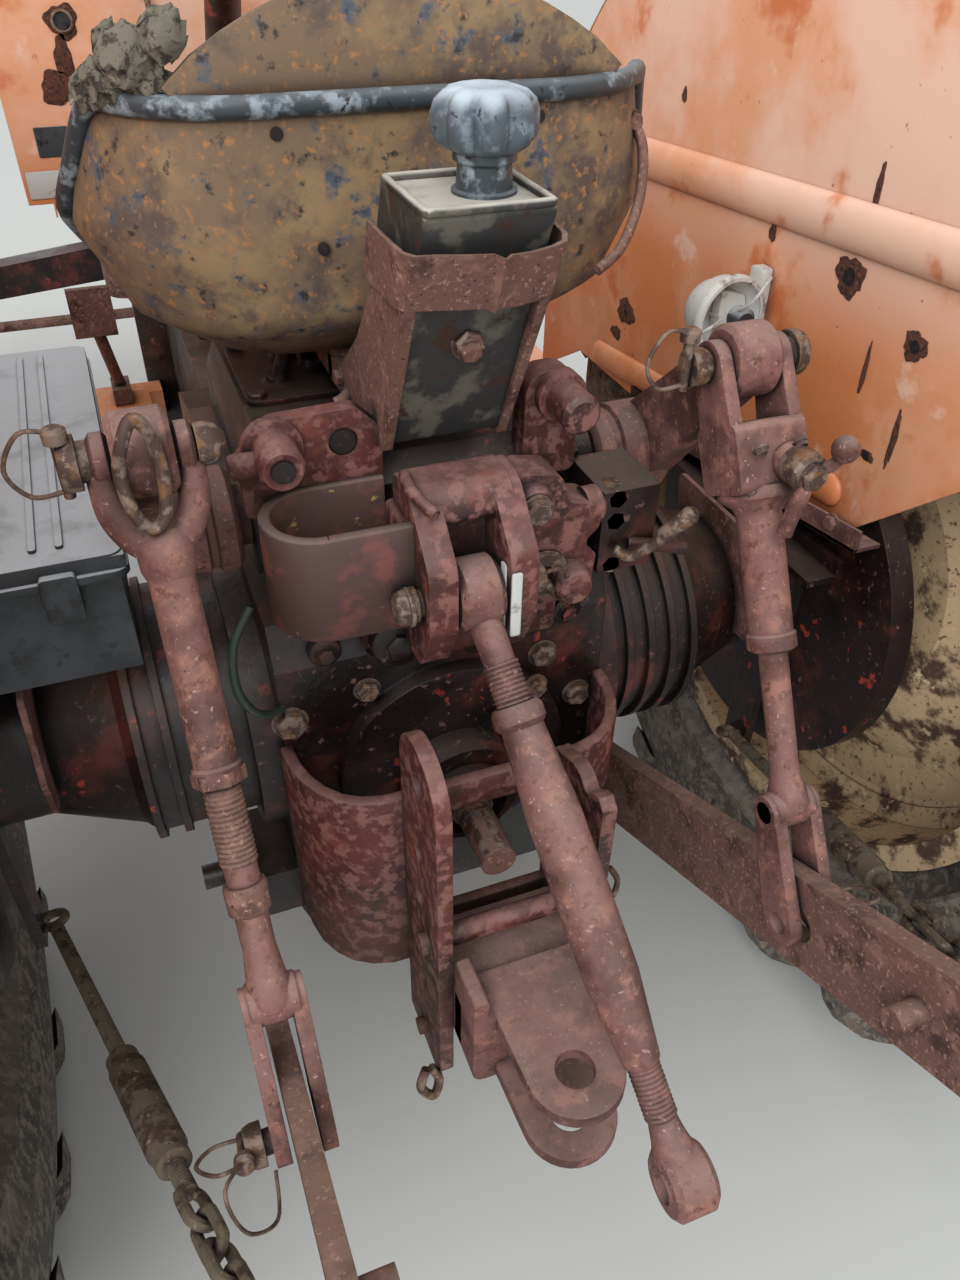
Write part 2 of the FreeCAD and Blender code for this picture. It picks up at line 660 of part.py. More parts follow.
def lower_link(side, foot):
    pivot = (S.link_pivot_y, S.link_pivot_z)
    end = link_end(foot)
    x = side * S.link_x
    bar_body = strap(x, pivot, end, S.link_thick, S.link_tall)
    root_eye = drum("X", (x, *pivot), S.link_tall / 2, 30)
    ball_eye = drum("X", (x, *end), S.link_ball_radius, S.link_ball_width)
    reach = S.pin_radius + S.slot_rise
    run = (end[0] - pivot[0], end[1] - pivot[1])
    step = (run[0] / S.link_length * S.slot_half, run[1] / S.link_length * S.slot_half)
    ends = [(foot[0] + sign * step[0], foot[1] + sign * step[1]) for sign in (-1, 1)]
    foot_slot = [drum("X", (x, *end_spot), reach, 60) for end_spot in ends]
    foot_slot.append(strap(x, ends[0], ends[1], 60, reach * 2))
    bores = [drum("X", (x, *end), S.link_bore, 80),
             drum("X", (x, *pivot), S.pin_radius + 3 + S.pin_gap, 80)]
    drilled = cut(fuse(bar_body, root_eye, ball_eye), *foot_slot, *bores)
    tab = along(pivot, end, 0.70)
    bolt = drum("X", (x, *tab), 12, 70)
    return fuse(drilled, bolt)


# Pins that carry the lower links, on brackets of the transmission housing.
def link_brackets():
    solids = []
    for side in (-1, 1):
        pin = drum("X", (side * (S.link_x - 8), S.link_pivot_y, S.link_pivot_z), S.pin_radius + 3, 90)
        low, high = sorted((side * S.housing_half, side * (S.link_x - 22)), key=lambda a: size(a).value)
        lug = block((low, high), (S.link_pivot_y - 45, S.link_pivot_y + 60),
                    (S.link_pivot_z - 42, S.link_pivot_z + 26))
        solids.append(fuse(lug, pin))
    return solids


def top_link():
    start = (S.top_pin_x, S.top_pin_y, S.top_pin_z)
    end = (S.top_end_x, S.top_end_y, S.top_end_z)

    def spot(share):
        return tuple(size(a) + (size(b) - a) * share for a, b in zip(start, end))

    parts = [
        drum("X", start, S.top_eye_radius, S.top_eye_width),
        bar(start, spot(0.2), S.top_neck_radius),
        taper(spot(0.2), spot(0.28), S.top_neck_radius + 3, S.top_tube_radius),
        bar(spot(0.28), spot(0.76), S.top_tube_radius),
        taper(spot(0.76), spot(0.82), S.top_tube_radius, S.top_neck_radius + 2),
        bar(spot(0.82), end, S.top_neck_radius),
        drum("X", end, S.top_eye_radius, S.top_eye_width),
    ]
    bores = [drum("X", start, S.pin_radius + 1 + S.pin_gap, 80), drum("X", end, S.top_bore, 80)]
    return cut(fuse(*parts), *bores)


# Cast rocker bracket of the top link: two ears and its pin.
def top_bracket():
    inner = S.top_ear_gap / 2
    wall = S.top_ear_wall
    x = S.top_pin_x
    parts = [block((-S.bracket_left, S.bracket_right), (-S.bracket_rear, -S.bracket_front),
                   (S.bracket_bottom + 20, S.bracket_top - 30))]
    for side in (-1, 1):
        middle = x + side * (inner + wall / 2)
        parts.append(block((middle - wall / 2, middle + wall / 2), (S.top_pin_y - 24, -S.bracket_front),
                           (S.bracket_bottom, S.bracket_top)))
    pin = drum("X", (x, S.top_pin_y, S.top_pin_z), S.pin_radius + 1, S.top_ear_gap + wall * 2 + 10)
    base = block((-30, 100), (-S.bracket_front, -S.housing_rear), (S.bracket_bottom - 40, S.bracket_top - 60))
    return fuse(*parts, pin, base)


# Draft spring: one flat leaf folded back on itself round a bend at the left.
def draft_spring():
    rear = S.spring_rear
    front = S.spring_front
    wall = S.spring_wall
    bend = (rear - front) / 2
    middle = bend - S.spring_left
    outline = [
        (-S.bracket_left - 0.3, -rear), (-S.bracket_left - 0.3, wall - rear), (middle, wall - rear),
        (middle, -front - wall, -(bend - wall)), (S.bracket_left, -front - wall),
        (S.bracket_left, -front), (middle, -front), (middle, -rear, bend),
    ]
    return plate("XY", outline, S.spring_bottom, S.spring_top)


def drawbar_band():
    wall = S.band_wall
    half = S.band_half
    wide = S.band_front_half
    rear = S.band_rear
    corner = S.band_corner
    front = S.band_front
    outer = [
        (wide, -front), (wide - wall, -front), (half - wall, corner - rear + 24),
        (half - corner - 4, wall - rear), (corner + 4 - half, wall - rear),
        (wall - half, corner - rear + 24), (wall - wide, -front),
        (-wide, -front), (-half, corner - rear + 24), (corner - half, -rear),
        (half - corner, -rear), (half, corner - rear + 24),
    ]
    hoop = plate("XY", outer, S.band_bottom, S.band_top)
    wedge = plate("YZ", [(-rear + 60, S.band_bottom - 1), (10, S.band_bottom - 1), (10, S.band_bottom
                  + S.band_rise + 60)], -300, 300)
    window = block((0.3 - S.hitch_half, S.hitch_half - 0.3), (-rear - 20, wall - rear + 20),
                   (S.band_window_low, S.band_window_top))
    return cut(hoop, wedge, window)


# Two drilled side plates joined by their crossbars.
def hitch_frame():
    half = S.hitch_half
    wall = S.hitch_plate_wall
    low = S.hitch_plate_bottom
    top = S.hitch_plate_top
    front = S.hitch_plate_front
    rear = S.hitch_plate_rear
    middle = -(front + rear) / 2
    round_end = (rear - front) / 2
    outline = [
        (-rear, low), (-front, low), (-front, top), (-rear, top, round_end),
    ]
    plates = []
    for side in (-1, 1):
        near, far = sorted((side * half, side * (half + wall)), key=lambda a: a.value)
        plates.append(plate("YZ", outline, near, far))
    holes = [drum("X", (0, middle, low + 50 + 62 * number), 10, 400) for number in range(4)]
    holes.append(drum("X", (0, middle, top), 13, 400))
    bars = [
        block((-half, half), (middle - 8, middle + 8), (top - 36, top - 20)),
        drum("X", (0, middle, 585), 11, half * 2),
    ]
    return fuse(cut(fuse(*plates), *holes), *bars)


def hitch_jaw():
    wall = S.hitch_jaw_wall
    half = S.hitch_jaw_half
    tip = S.hitch_jaw_y
    plates = []
    for level in (S.hitch_jaw_upper, S.hitch_jaw_lower):
        tongue = plate("XY", [(-half, -350), (-half, tip), (half, tip, half), (half, -350)],
                       level - wall / 2, level + wall / 2)
        plates.append(tongue)
    body = block((0.4 - S.hitch_half, S.hitch_half - 0.4), (-400, -S.hitch_plate_front - 20), (478, 560))
    bore = drum("Z", (0, tip, 530), S.hitch_jaw_bore, 200)
    cross = drum("X", (0, -(S.hitch_plate_front + S.hitch_plate_rear) / 2, 472), 9, 100)
    return cut(fuse(*plates, body), bore, cross)


def pto_shaft():
    axis = S.pto_height
    spline = drum("Y", (0, -(S.pto_tip + S.housing_rear) / 2 - 10, axis), S.pto_radius,
                  S.pto_tip - S.housing_rear - 20)
    inner = drum("Y", (0, -S.housing_rear + 10, axis), S.pto_radius + 4, 160)
    return fuse(spline, inner)


def pto_guard():
    middle = -(S.pto_guard_rear + S.housing_rear + 49) / 2
    length = S.pto_guard_rear - S.housing_rear - 49
    outer = drum("Y", (0, middle, S.pto_height), S.pto_guard_radius, length - 0.6)
    bore = drum("Y", (0, middle, S.pto_height), S.pto_guard_radius - 6, 200)
    return cut(outer, bore)


# Horizontal section of the seat pan: straight sides, rounded back, inset all round.
def seat_section(level, half, rear, front, inset):
    half = size(half).value - inset
    rear = size(rear).value + inset
    front = size(front).value - inset
    corner = half * 0.72
    nose = half * 0.35
    spots = [
        Vector(-half + nose, front, level), Vector(half - nose, front, level),
        Vector(half, front - nose, level), Vector(half, rear + corner, level),
        Vector(half - corner, rear, level), Vector(corner - half, rear, level),
        Vector(-half, rear + corner, level), Vector(-half, front - nose, level),
    ]
    share = 0.5 ** 0.5

    def bow(first, last, centre):
        radius = (first - centre).Length
        middle = centre + ((first + last) * 0.5 - centre).normalize() * radius
        return Part.Arc(first, middle, last).toShape()

    edges = [
        Part.makeLine(spots[0], spots[1]),
        bow(spots[1], spots[2], Vector(half - nose, front - nose, level)),
        Part.makeLine(spots[2], spots[3]),
        bow(spots[3], spots[4], Vector(half - corner, rear + corner, level)),
        Part.makeLine(spots[4], spots[5]),
        bow(spots[5], spots[6], Vector(corner - half, rear + corner, level)),
        Part.makeLine(spots[6], spots[7]),
        bow(spots[7], spots[0], Vector(nose - half, front - nose, level)),
    ]
    return Part.Wire(edges)


def seat_loft(inset, drop):
    base = S.seat_base.value
    half = S.seat_half.value
    rear = -S.seat_rear.value
    front = S.seat_front.value
    rows = [
        # level, half width, rear y, front y
        (base + drop, half * 0.62, rear + 120, front - 60),
        (base + 55, half * 0.90, rear + 46, front - 10),
        (base + 150, half, rear + 12, front),
        (base + 320, half + 6, rear - 10, front + 10),
    ]
    wires = [seat_section(level, wide, back, fore, inset) for level, wide, back, fore in rows]
    return Part.makeLoft(wires, True, False)


# Everything below the sloping rim line of the seat, from the front edge up to the back.
def seat_slab(low, high):
    far = 600
    front = S.seat_front.value + 30
    rear = -S.seat_rear.value - 30
    front_top = S.seat_front_top.value
    back_top = S.seat_back_top.value
    corners = [
        Vector(-far, front, front_top + low), Vector(-far, 60, front_top + 30 + low),
        Vector(-far, rear, back_top + low), Vector(-far, rear, back_top + high),
        Vector(-far, 60, front_top + 30 + high), Vector(-far, front, front_top + high),
    ]
    face = Part.Face(Part.makePolygon(corners + corners[:1]))
    return face.extrude(Vector(2 * far, 0, 0))


def made(shape, name):
    feature = doc.addObject("Part::Feature", name)
    feature.Shape = shape
    return feature


def seat_pan():
    outer = seat_loft(0, 0)
    inner = seat_loft(S.seat_wall.value, S.seat_wall.value)
    return made(outer.cut(inner).common(seat_slab(-900, 0)), "Pan")


def seat_trim():
    outer = seat_loft(-(S.trim_thick - S.seat_wall).value / 2, 0)
    inner = seat_loft((S.trim_thick + S.seat_wall).value / 2, -5)
    return made(outer.cut(inner).common(seat_slab(0.3, S.trim_high.value)), "Trim")


# Spring box of the seat, leaning back, with its strap and the star knob on top.
def seat_box():
    half = S.seat_box_half
    foot = (S.seat_box_foot_y, S.seat_box_foot_z)
    top = (S.seat_box_top_y, S.seat_box_top_z)
    return strap(0, foot, top, half * 2, S.seat_box_depth)


def seat_knob():
    foot = (S.seat_box_foot_y, S.seat_box_foot_z)
    top = (S.seat_box_top_y, S.seat_box_top_z)
    collar_end = along(foot, top, 1.16)
    start = (0, *along(foot, top, 1.002))
    collar = bar(start, (0, *collar_end), 23)
    knob = bar((0, *along(foot, top, 1.12)), (0, *along(foot, top, 1.31)), S.knob_radius - 9)
    return fuse(collar, knob)


# Rod and brackets that carry the pan on the spring box and the lift cover.
def seat_frame():
    foot = (S.seat_box_foot_y, S.seat_box_foot_z)
    top = (S.seat_box_top_y, S.seat_box_top_z)
    front = S.seat_box_depth / 2 + 0.3
    cheeks = []
    for side in (-1, 1):
        x = side * (S.seat_box_half + 4.3)
        cheeks.append(strap(x, along(foot, top, 0.1), along(foot, top, 0.62), 8, S.seat_box_depth))
        cheeks.append(strap(x, (30, S.seat_base - 22), (-110, S.seat_base - 20), 8, 40))
    bridge = block((-S.seat_box_half - 8.3, S.seat_box_half + 8.3), (10, 230),
                   (S.seat_base - 42, S.seat_base - 0.3))
    foot_block = block((-40, 40), (60, 200), (S.lift_cover_top, S.seat_base - 42))
    return fuse(*cheeks, bridge, foot_block)


# Right fender: inner panel with two pressed ribs, and the top band over the tyre.
def fender():
    x = S.fender_x
    wall = S.fender_wall
    radius = S.fender_radius
    centre_z = S.rear_tyre_radius
    front = S.fender_front_y
    front_top = centre_z + root(radius * radius - front * front)
    tail = radius * 0.72
    tail_top = centre_z + root(radius * radius - tail * tail)
    outline = [
        (-S.fender_rear_y, S.fender_rear_z), (front, S.fender_front_z), (front, front_top),
        (0, centre_z + radius, radius), (-tail, tail_top, radius),
    ]
    outline[0] = (S.fender_rear_y, S.fender_rear_z)
    panel = plate("YZ", outline, x, x + wall)
    band_outline = [
        (front, front_top), (0, centre_z + radius, radius), (-tail, tail_top, radius),
        (-tail + wall * 0.7, tail_top - wall * 0.7),
        (0, centre_z + radius - wall, wall - radius), (front - wall * 0.7, front_top - wall * 0.7,
                                                       wall - radius),
    ]
    band = plate("YZ", band_outline, x, x + S.fender_reach)
    ribs = [
        bar((x - 1, -178, 1119), (x - 1, 443, 1075), S.rib_radius),
        bar((x - 1, -149, 854), (x - 1, 481, 790), S.rib_radius - 2),
    ]
    return fuse(panel, band, *ribs)


# Angle irons and plates that carry the fender on the trumpet.
def fender_brace():
    x = S.fender_x
    low = S.rear_tyre_radius + S.trumpet_tip + 0.3
    angle = block((x - 44, x - 0.3), (-150, 330), (low, low + 8))
    upright = block((x - 8, x - 0.3), (-150, 330), (low + 8, low + 24))
    web = block((x - 50, x - 0.3), (-40, 40), (low, low + 18))
    return fuse(angle, upright, web)


def platform():
    x = S.fender_x
    wall = S.platform_wall
    rear = S.fender_front_y - 90
    floor = block((S.gearbox_half + 34, x - 4), (rear, S.platform_front),
                  (S.platform_z, S.platform_z + wall))
    outer = block((x - 4, x + 120), (S.rear_tyre_radius + 20, S.platform_front),
                  (S.platform_z, S.platform_z + wall))
    edge = block((x + 112, x + 120), (S.rear_tyre_radius + 20, S.platform_front), (S.platform_z - 34, S.platform_z))
    step = block((x + 20, x + 28), (rear + 270, rear + 450), (S.platform_z - 190, S.platform_z))
    tread = block((x + 20, x + 150), (rear + 270, rear + 450), (S.platform_z - 196, S.platform_z - 190))
    stay = block((S.gearbox_half + 10, S.gearbox_half + 40), (S.gearbox_front - 86, S.gearbox_front - 40),
                 (S.platform_z - 60, S.platform_z + wall))
    return fuse(floor, outer, edge, step, tread, stay)


# Hood: one bent sheet, open below, tapering in height to the nose.
def hood():
    half = S.hood_half
    wall = S.hood_wall
    corner = S.hood_corner
    rise = S.hood_rear_top
    low = S.hood_bottom
    outline = [
        (-half, low), (wall - half, low), (wall - half, rise - corner),
        (corner - half, rise - wall, wall - corner), (half - corner, rise - wall),
        (half - wall, rise - corner, wall - corner), (half - wall, low), (half, low),
        (half, rise - corner), (half - corner, rise, corner), (corner - half, rise),
        (-half, rise - corner, corner),
    ]
    shell = plate("XZ", outline, S.hood_rear, S.hood_front - S.grille_depth - 2)
    pipe = drum("Z", (S.exhaust_x - 18, S.exhaust_y, S.hood_rear_top), S.exhaust_radius + 4, 60)
    return cut(shell, pipe)


def cowl():
    half = S.hood_half + 18
    outline = [
        (-half, S.cowl_bottom), (half, S.cowl_bottom), (half + 4, S.hood_rear_top - 60),
        (half - 60, S.hood_rear_top + 16, 64), (60 - half, S.hood_rear_top + 16),
        (-half - 4, S.hood_rear_top - 60, 64),
    ]
    body = plate("XZ", outline, S.cowl_rear, S.hood_rear - 0.3)
    foot = (0, S.column_foot_y, S.column_foot_z)
    top = (0, S.wheel_y, S.wheel_z)
    return cut(body, bar(foot, top, S.column_radius + 3))


# Nose: frame round the grille, upright slats and the two headlamp wells.
def grille():
    half = S.hood_half
    low = S.nose_bottom
    top = S.hood_rear_top
    front = S.hood_front
    rear = front - S.grille_depth
    frame_outline = [
        (-half, low), (half, low), (half, top - S.hood_corner), (half - S.hood_corner, top,
                                                                 S.hood_corner),
        (S.hood_corner - half, top), (-half, top - S.hood_corner, S.hood_corner),
    ]
    hole = [
        (40 - half, low + 50), (40 - half, top - 60), (half - 40, top - 60), (half - 40, low + 50),
    ]
    frame = plate("XZ", frame_outline, rear, front, hole)
    count = int((S.hood_half.value - 40) * 2 / S.slat_pitch.value)
    first = -(count - 1) / 2
    slats = [block((S.slat_pitch * (first + number) - S.slat_wall / 2,
                    S.slat_pitch * (first + number) + S.slat_wall / 2),
                   (rear + 4, front - 6), (low + 45, top - 55)) for number in range(count)]
    wells = [drum("Y", (side * S.lamp_x, (front + rear) / 2, S.lamp_z), S.lamp_radius + 14,
                  S.grille_depth) for side in (-1, 1)]
    bores = [drum("Y", (side * S.lamp_x, front, S.lamp_z), S.lamp_radius + 0.3, 200)
             for side in (-1, 1)]
    return cut(fuse(frame, *slats, *wells), *bores)


def headlamps():
    lamps = []
    for side in (-1, 1):
        centre = (side * S.lamp_x, S.hood_front, S.lamp_z)
        outline = [
            (-70, 0), (-70, 40), (-20, S.lamp_radius - 3), (0, S.lamp_radius), (8, S.lamp_radius),
            (14, S.lamp_radius - 8), (22, S.lamp_radius - 40), (24, 0),
        ]
        lamps.append(turned("Y", outline, centre))
    return lamps


# Side skirts of the nose that join grille, radiator and hood.
def nose_sides():
    half = S.hood_half
    wall = S.hood_wall
    skins = []
    for side in (-1, 1):
        low, high = sorted((side * half, side * (half - wall)), key=lambda a: a.value)
        skins.append(block((low, high), (S.radiator_rear + 140, S.hood_front - S.grille_depth - 0.3),
                           (S.nose_bottom, S.hood_bottom - 0.3)))
    return skins


def radiator():
    half = S.radiator_half
    rear = S.radiator_rear
    front = rear + S.radiator_depth
    core = block((-half, half), (rear + 12, front - 12), (S.radiator_bottom, S.radiator_top))
    tanks = [block((-half - 10, half + 10), (rear, front), span) for span in (
        (S.radiator_bottom, S.radiator_bottom + 60), (S.radiator_top - 70, S.radiator_top))]
    neck = drum("Z", (0, (rear + front) / 2, S.radiator_top + 12), 30, 30)
    return fuse(core, *tanks, neck)


def fan():
    hub_y = S.engine_front + 40
    axis = S.engine_top - 70
    hub = drum("Y", (0, hub_y + 35, axis), 34, 70)
    disc = drum("Y", (0, hub_y + 60, axis), S.fan_radius, 8)
    return fuse(hub, disc)


def exhaust():
    x = S.exhaust_x - 18
    y = S.exhaust_y
    foot = S.engine_top + S.head_top
    base = foot / 2 + 64
    lower = drum("Z", (x, y, (base + S.exhaust_top) / 2), S.exhaust_radius, S.exhaust_top - base)
    silencer = drum("Z", (x, y, S.hood_rear_top + 210), S.silencer_radius, 330)
    return fuse(lower, silencer)


def bolster():
    half = S.bolster_half
    rear = S.engine_front + 40
    front = S.hood_front + 8
    outline = [
        (rear, S.bolster_bottom + 30), (S.wheelbase - 120, S.bolster_bottom + 75),
        (S.wheelbase + 120, S.bolster_bottom + 75), (front, S.bolster_bottom + 10),
        (front, S.bolster_top - 20), (S.radiator_rear + 100, S.bolster_top),
        (rear, S.bolster_top),
    ]
    frame = plate("YZ", outline, -half, half)
    bore = drum("Y", (0, S.wheelbase, S.axle_pivot_z + 6), 23, 900)
    ears = [block((-80, 80), (S.wheelbase + side * 95 - 20, S.wheelbase + side * 95 + 20),
                  (S.axle_pivot_z - 42, S.bolster_bottom + 90)) for side in (-1, 1)]
    pin = drum("Y", (0, S.wheelbase, S.axle_pivot_z + 6), 21, 230)
    return fuse(frame, *ears, pin)


def bumper():
    front = S.wheelbase + S.front_overhang
    rear = front - S.bumper_depth
    bar_outline = [(-240, rear), (240, rear), (240, front - 30), (210, front), (-210, front),
                   (-240, front - 30)]
    beam = plate("XY", bar_outline, S.bolster_bottom - 10, S.bolster_bottom + 110)
    foot = block((-S.bolster_half + 10, S.bolster_half - 10), (S.hood_front + 8.0, rear),
                 (S.bolster_bottom + 10, S.bolster_bottom + 100))
    return fuse(beam, foot)


# Front axle beam: box beam on the centre pin, cranked down to the kingpin bosses.
def front_axle():
    half = S.axle_beam_wide / 2
    y = S.wheelbase
    x = S.kingpin_x
    level = S.axle_pivot_z
    low = S.front_tyre_radius + 31
    outline = [
        (-x - 34, low), (-x + 60, low), (-160, level - 45), (160, level - 45),
        (x - 60, low), (x + 34, low), (x + 34, level + 10), (x - 60, level + 6),
        (160, level + 44), (-160, level + 44), (60 - x, level + 6), (-x - 34, level + 10),
    ]
    beam = plate("XZ", outline, y - half, y + half)
    bosses = [drum("Z", (side * x, y, (low + level + 14) / 2), 36, level + 14 - low)
              for side in (-1, 1)]
    bores = [drum("Z", (side * x, y, level - 40), S.kingpin_radius + S.pin_gap, 200)
             for side in (-1, 1)]
    centre = drum("Y", (0, y, level + 6), 21 + S.pin_gap, 200)
    return cut(fuse(beam, *bosses), *bores, centre)


# Steering knuckle: kingpin, spindle and the arm that runs straight back to the tie rod.
def knuckle(side):
    x = side * S.kingpin_x
    y = S.wheelbase
    level = S.axle_pivot_z
    pin_top = level + 40
    pin = drum("Z", (x, y, (pin_top + S.front_tyre_radius) / 2), S.kingpin_radius,
               pin_top - S.front_tyre_radius)
    cap = drum("Z", (x, y, level + 26), S.kingpin_radius + 9, 20)
    hub = drum("Z", (x, y, S.front_tyre_radius - 10), 34, 80)
    end = S.front_track / 2 + 60
    near, far = sorted((x, side * end), key=lambda a: a.value)
    spindle = drum("X", ((near + far) / 2, y, S.front_tyre_radius), S.spindle_radius, far - near)
    arm = block((x - 14, x + 14), (y - S.steering_arm, y), (S.tie_rod_z - 46, S.tie_rod_z - 24))
    eye = drum("Z", (x, y - S.steering_arm, S.tie_rod_z - 35), 20, 22)
    stud = drum("Z", (x, y - S.steering_arm, S.tie_rod_z - 14), 9, 40)
    return fuse(pin, cap, hub, spindle, arm, eye, stud)


def tie_rod():
    y = S.wheelbase - S.steering_arm
    level = S.tie_rod_z - 6
    rod = drum("X", (0, y, level), S.tie_rod_radius, (S.kingpin_x - 16) * 2)
    eyes = [drum("Z", (side * S.kingpin_x, y, level), 19, 28) for side in (-1, 1)]
    bores = [drum("Z", (side * S.kingpin_x, y, level), 9 + S.pin_gap, 80) for side in (-1, 1)]
    return cut(fuse(rod, *eyes), *bores)


def steering_column():
    foot = (0, S.column_foot_y, S.column_foot_z)
    top = (0, S.wheel_y, S.wheel_z)
    y_step = S.wheel_y - S.column_foot_y
    z_step = S.wheel_z - S.column_foot_z
    end = (0, S.column_foot_y + y_step * 0.9, S.column_foot_z + z_step * 0.9)
    tube = bar(foot, end, S.column_radius)
    gear = block((-60, 60), (S.column_foot_y - 64, S.column_foot_y + 40),
                 (S.gearbox_top + 0.3, S.gearbox_top + 130))
    return fuse(tube, gear)


def steering_wheel():
    y_step = S.wheel_y - S.column_foot_y
    z_step = S.wheel_z - S.column_foot_z
    near = (0, S.column_foot_y + y_step * 0.9005, S.column_foot_z + z_step * 0.9005)
    end = (0, S.column_foot_y + y_step * 1.03, S.column_foot_z + z_step * 1.03)
    hub = bar(near, end, 30)
    turn, _ = aim(near, end)
    rim = add("Part::Torus", Radius1=S.steering_radius, Radius2=S.steering_grip)
    put(rim, (0, S.wheel_y, S.wheel_z), turn)
    spokes = []
    for number in range(3):
        spoke = add("Part::Box", Length=S.steering_radius, Width=22, Height=9)
        angle = 90 + 120 * number
        place = f"vector(0; {S.wheel_y.text}; {S.wheel_z.text})"
        spoke.setExpression("Placement", f"placement({place}; {turn}) * placement(vector(0; 0; 0); "
                            f"rotation(vector(0; 0; 1); {angle})) * placement(vector(0; -11; -4.5);"
                            " rotation(vector(0; 0; 1); 0))")
        spokes.append(spoke)
    return fuse(hub, rim, *spokes)


# Pedals, gear levers and lift levers, each on its own root.
def controls():
    rear = S.housing_front
    levers = []
    # x, y, z of the root, x, y, z of the knob
    rows = [
        (30, rear + 190, S.gearbox_top + 26, 60, rear + 60, 1060),
        (-30, rear + 260, S.gearbox_top + 26, -75, rear + 110, 1010),
    ]
    for row in rows:
        boot = cone("Z", (row[0], row[1], row[2] + 0.3), 30, 14, 40)
        stem = bar((row[0], row[1], row[2] + 20), row[3:], 8)
        levers.append(fuse(boot, stem, ball(row[3:], 20)))
    for side in (-1, 1):
        foot = block((side * 250 - 34, side * 250 + 34), (S.platform_front - 130, S.platform_front - 118),
                     (S.platform_z + 150, S.platform_z + 230))
        shank = bar((side * 250, S.platform_front - 122, S.platform_z + 170),
                    (side * 230, S.platform_front - 60, S.platform_z + 30), 10)
        heel = block((side * 230 - 16, side * 230 + 16), (S.platform_front - 90, S.platform_front - 30),
                     (S.platform_z + S.platform_wall + 0.3, S.platform_z + 36))
        levers.append(fuse(foot, shank, heel))
    return levers


def rear_lamp():
    centre = (S.fender_x - 57, S.rear_lamp_y, S.rear_lamp_z)
    outline = [
        (-44, 0), (-44, 26), (-20, S.rear_lamp_radius - 4), (0, S.rear_lamp_radius),
        (12, S.rear_lamp_radius), (12, 0),
    ]
    body = turned("Y", outline, centre)
    arm = block((S.fender_x - 60, S.fender_x - 13), (S.rear_lamp_y - 22, S.rear_lamp_y - 8),
                (S.rear_lamp_z - 12, S.rear_lamp_z + 12))
    plate_foot = block((S.fender_x - 16, S.fender_x - 0.3), (S.rear_lamp_y - 26, S.rear_lamp_y - 4),
                       (S.rear_lamp_z - 30, S.rear_lamp_z + 40))
    return fuse(body, arm, plate_foot)


def battery_box():
    case = block((-S.box_left, -S.box_right), (-S.box_rear, S.box_front), (S.box_bottom, S.box_top - 14))
    lid = block((-S.box_left - 4, 6 - S.box_right), (-S.box_rear - 8, S.box_front + 4),
                (S.box_top - 14, S.box_top))
    return fuse(case, lid)


def remote_valve():
    body = block((S.lift_cover_half - 30, S.lift_cover_half + 24), (-190, -S.lift_cover_rear),
                 (878, 960))
    handle = bar((S.lift_cover_half - 2, -190, 905), (S.lift_cover_half + 50, -205, 897), 6)
    return fuse(body, handle)


# Check chains: from the bolt on each link out to its anchor on the pivot's own line.
def check_chain(side, foot):
    pivot = (S.link_pivot_y, S.link_pivot_z)
    end = link_end(foot)
    bolt = along(pivot, end, 0.70)
    anchor_x = side * S.chain_anchor_x
    start = (side * (S.link_x + 44), *bolt)
    stop = (anchor_x, *pivot)
    return bar(start, stop, S.chain_radius)


# Brackets under the axle tubes that hold the outer ends of the check chains.
def chain_anchors():
    x = S.chain_anchor_x + S.chain_radius
    low = S.link_pivot_z - 14
    bracket = block((x, x + 12), (S.link_pivot_y - 22, S.link_pivot_y + 22), (low, S.rear_tyre_radius))
    tube = drum("X", (x, 0, S.rear_tyre_radius), S.trumpet_tip + 0.3, 100)
    return both(cut(bracket, tube))


left_foot = (S.left_rod_foot_y, S.left_rod_foot_z)
right_foot = (S.right_rod_foot_y, S.right_rod_foot_z)

# Wheels, each side a body of its own.
for side, turn_over in (("right", False), ("left", True)):
    for label, solids in (
        ("rear_tyre", [rear_tyre()]),
        ("rear_wheel", [rear_rim(), rear_axle()]),
        ("front_tyre", [front_tyre()]),
        ("front_wheel", [front_rim(), front_hub()]),
    ):
        node(f"{label}_{side}", *[mirror(solid) if turn_over else solid for solid in solids])


# Chassis and engine.
node("axle_trumpets", *both(axle_trumpet()))
node("rear_housing", rear_housing())
node("gearbox", gearbox())
node("engine", engine())
node("engine_fittings", *engine_fittings(), fan())
node("radiator", radiator())
node("exhaust", exhaust())
node("bolster", bolster())
node("bumper", bumper())

# Rear linkage, drawbar and hitch.
node("lift_cover", lift_cover())
node("lift_arms", lift_arms())
for side, number, foot in (("right", 1, right_foot), ("left", -1, left_foot)):
    node(f"lift_rod_{side}", lift_rod(number, foot))
    node(f"lower_link_{side}", lower_link(number, foot))
    node(f"check_chain_{side}", check_chain(number, foot))
node("link_brackets", *link_brackets(), *chain_anchors())
node("top_link", top_link())
node("top_bracket", top_bracket())
node("draft_spring", draft_spring())
node("drawbar_band", drawbar_band())
node("hitch_frame", hitch_frame())
node("hitch_jaw", hitch_jaw())
node("pto_shaft", pto_shaft())
node("pto_guard", pto_guard())
node("remote_valve", remote_valve())

# Seat.
node("seat_pan", seat_pan())
node("seat_trim", seat_trim())
node("seat_box", seat_box())
node("seat_knob", seat_knob())
node("seat_frame", seat_frame())

# Sheet metal.
node("fenders", *both(fender()))
node("fender_braces", *both(fender_brace()))
node("platforms", *both(platform()))
node("battery_box", battery_box())
node("rear_lamp", rear_lamp())
node("hood", hood())
node("cowl", cowl())
node("grille", grille())
node("nose_sides", *nose_sides())
node("headlamps", *headlamps())

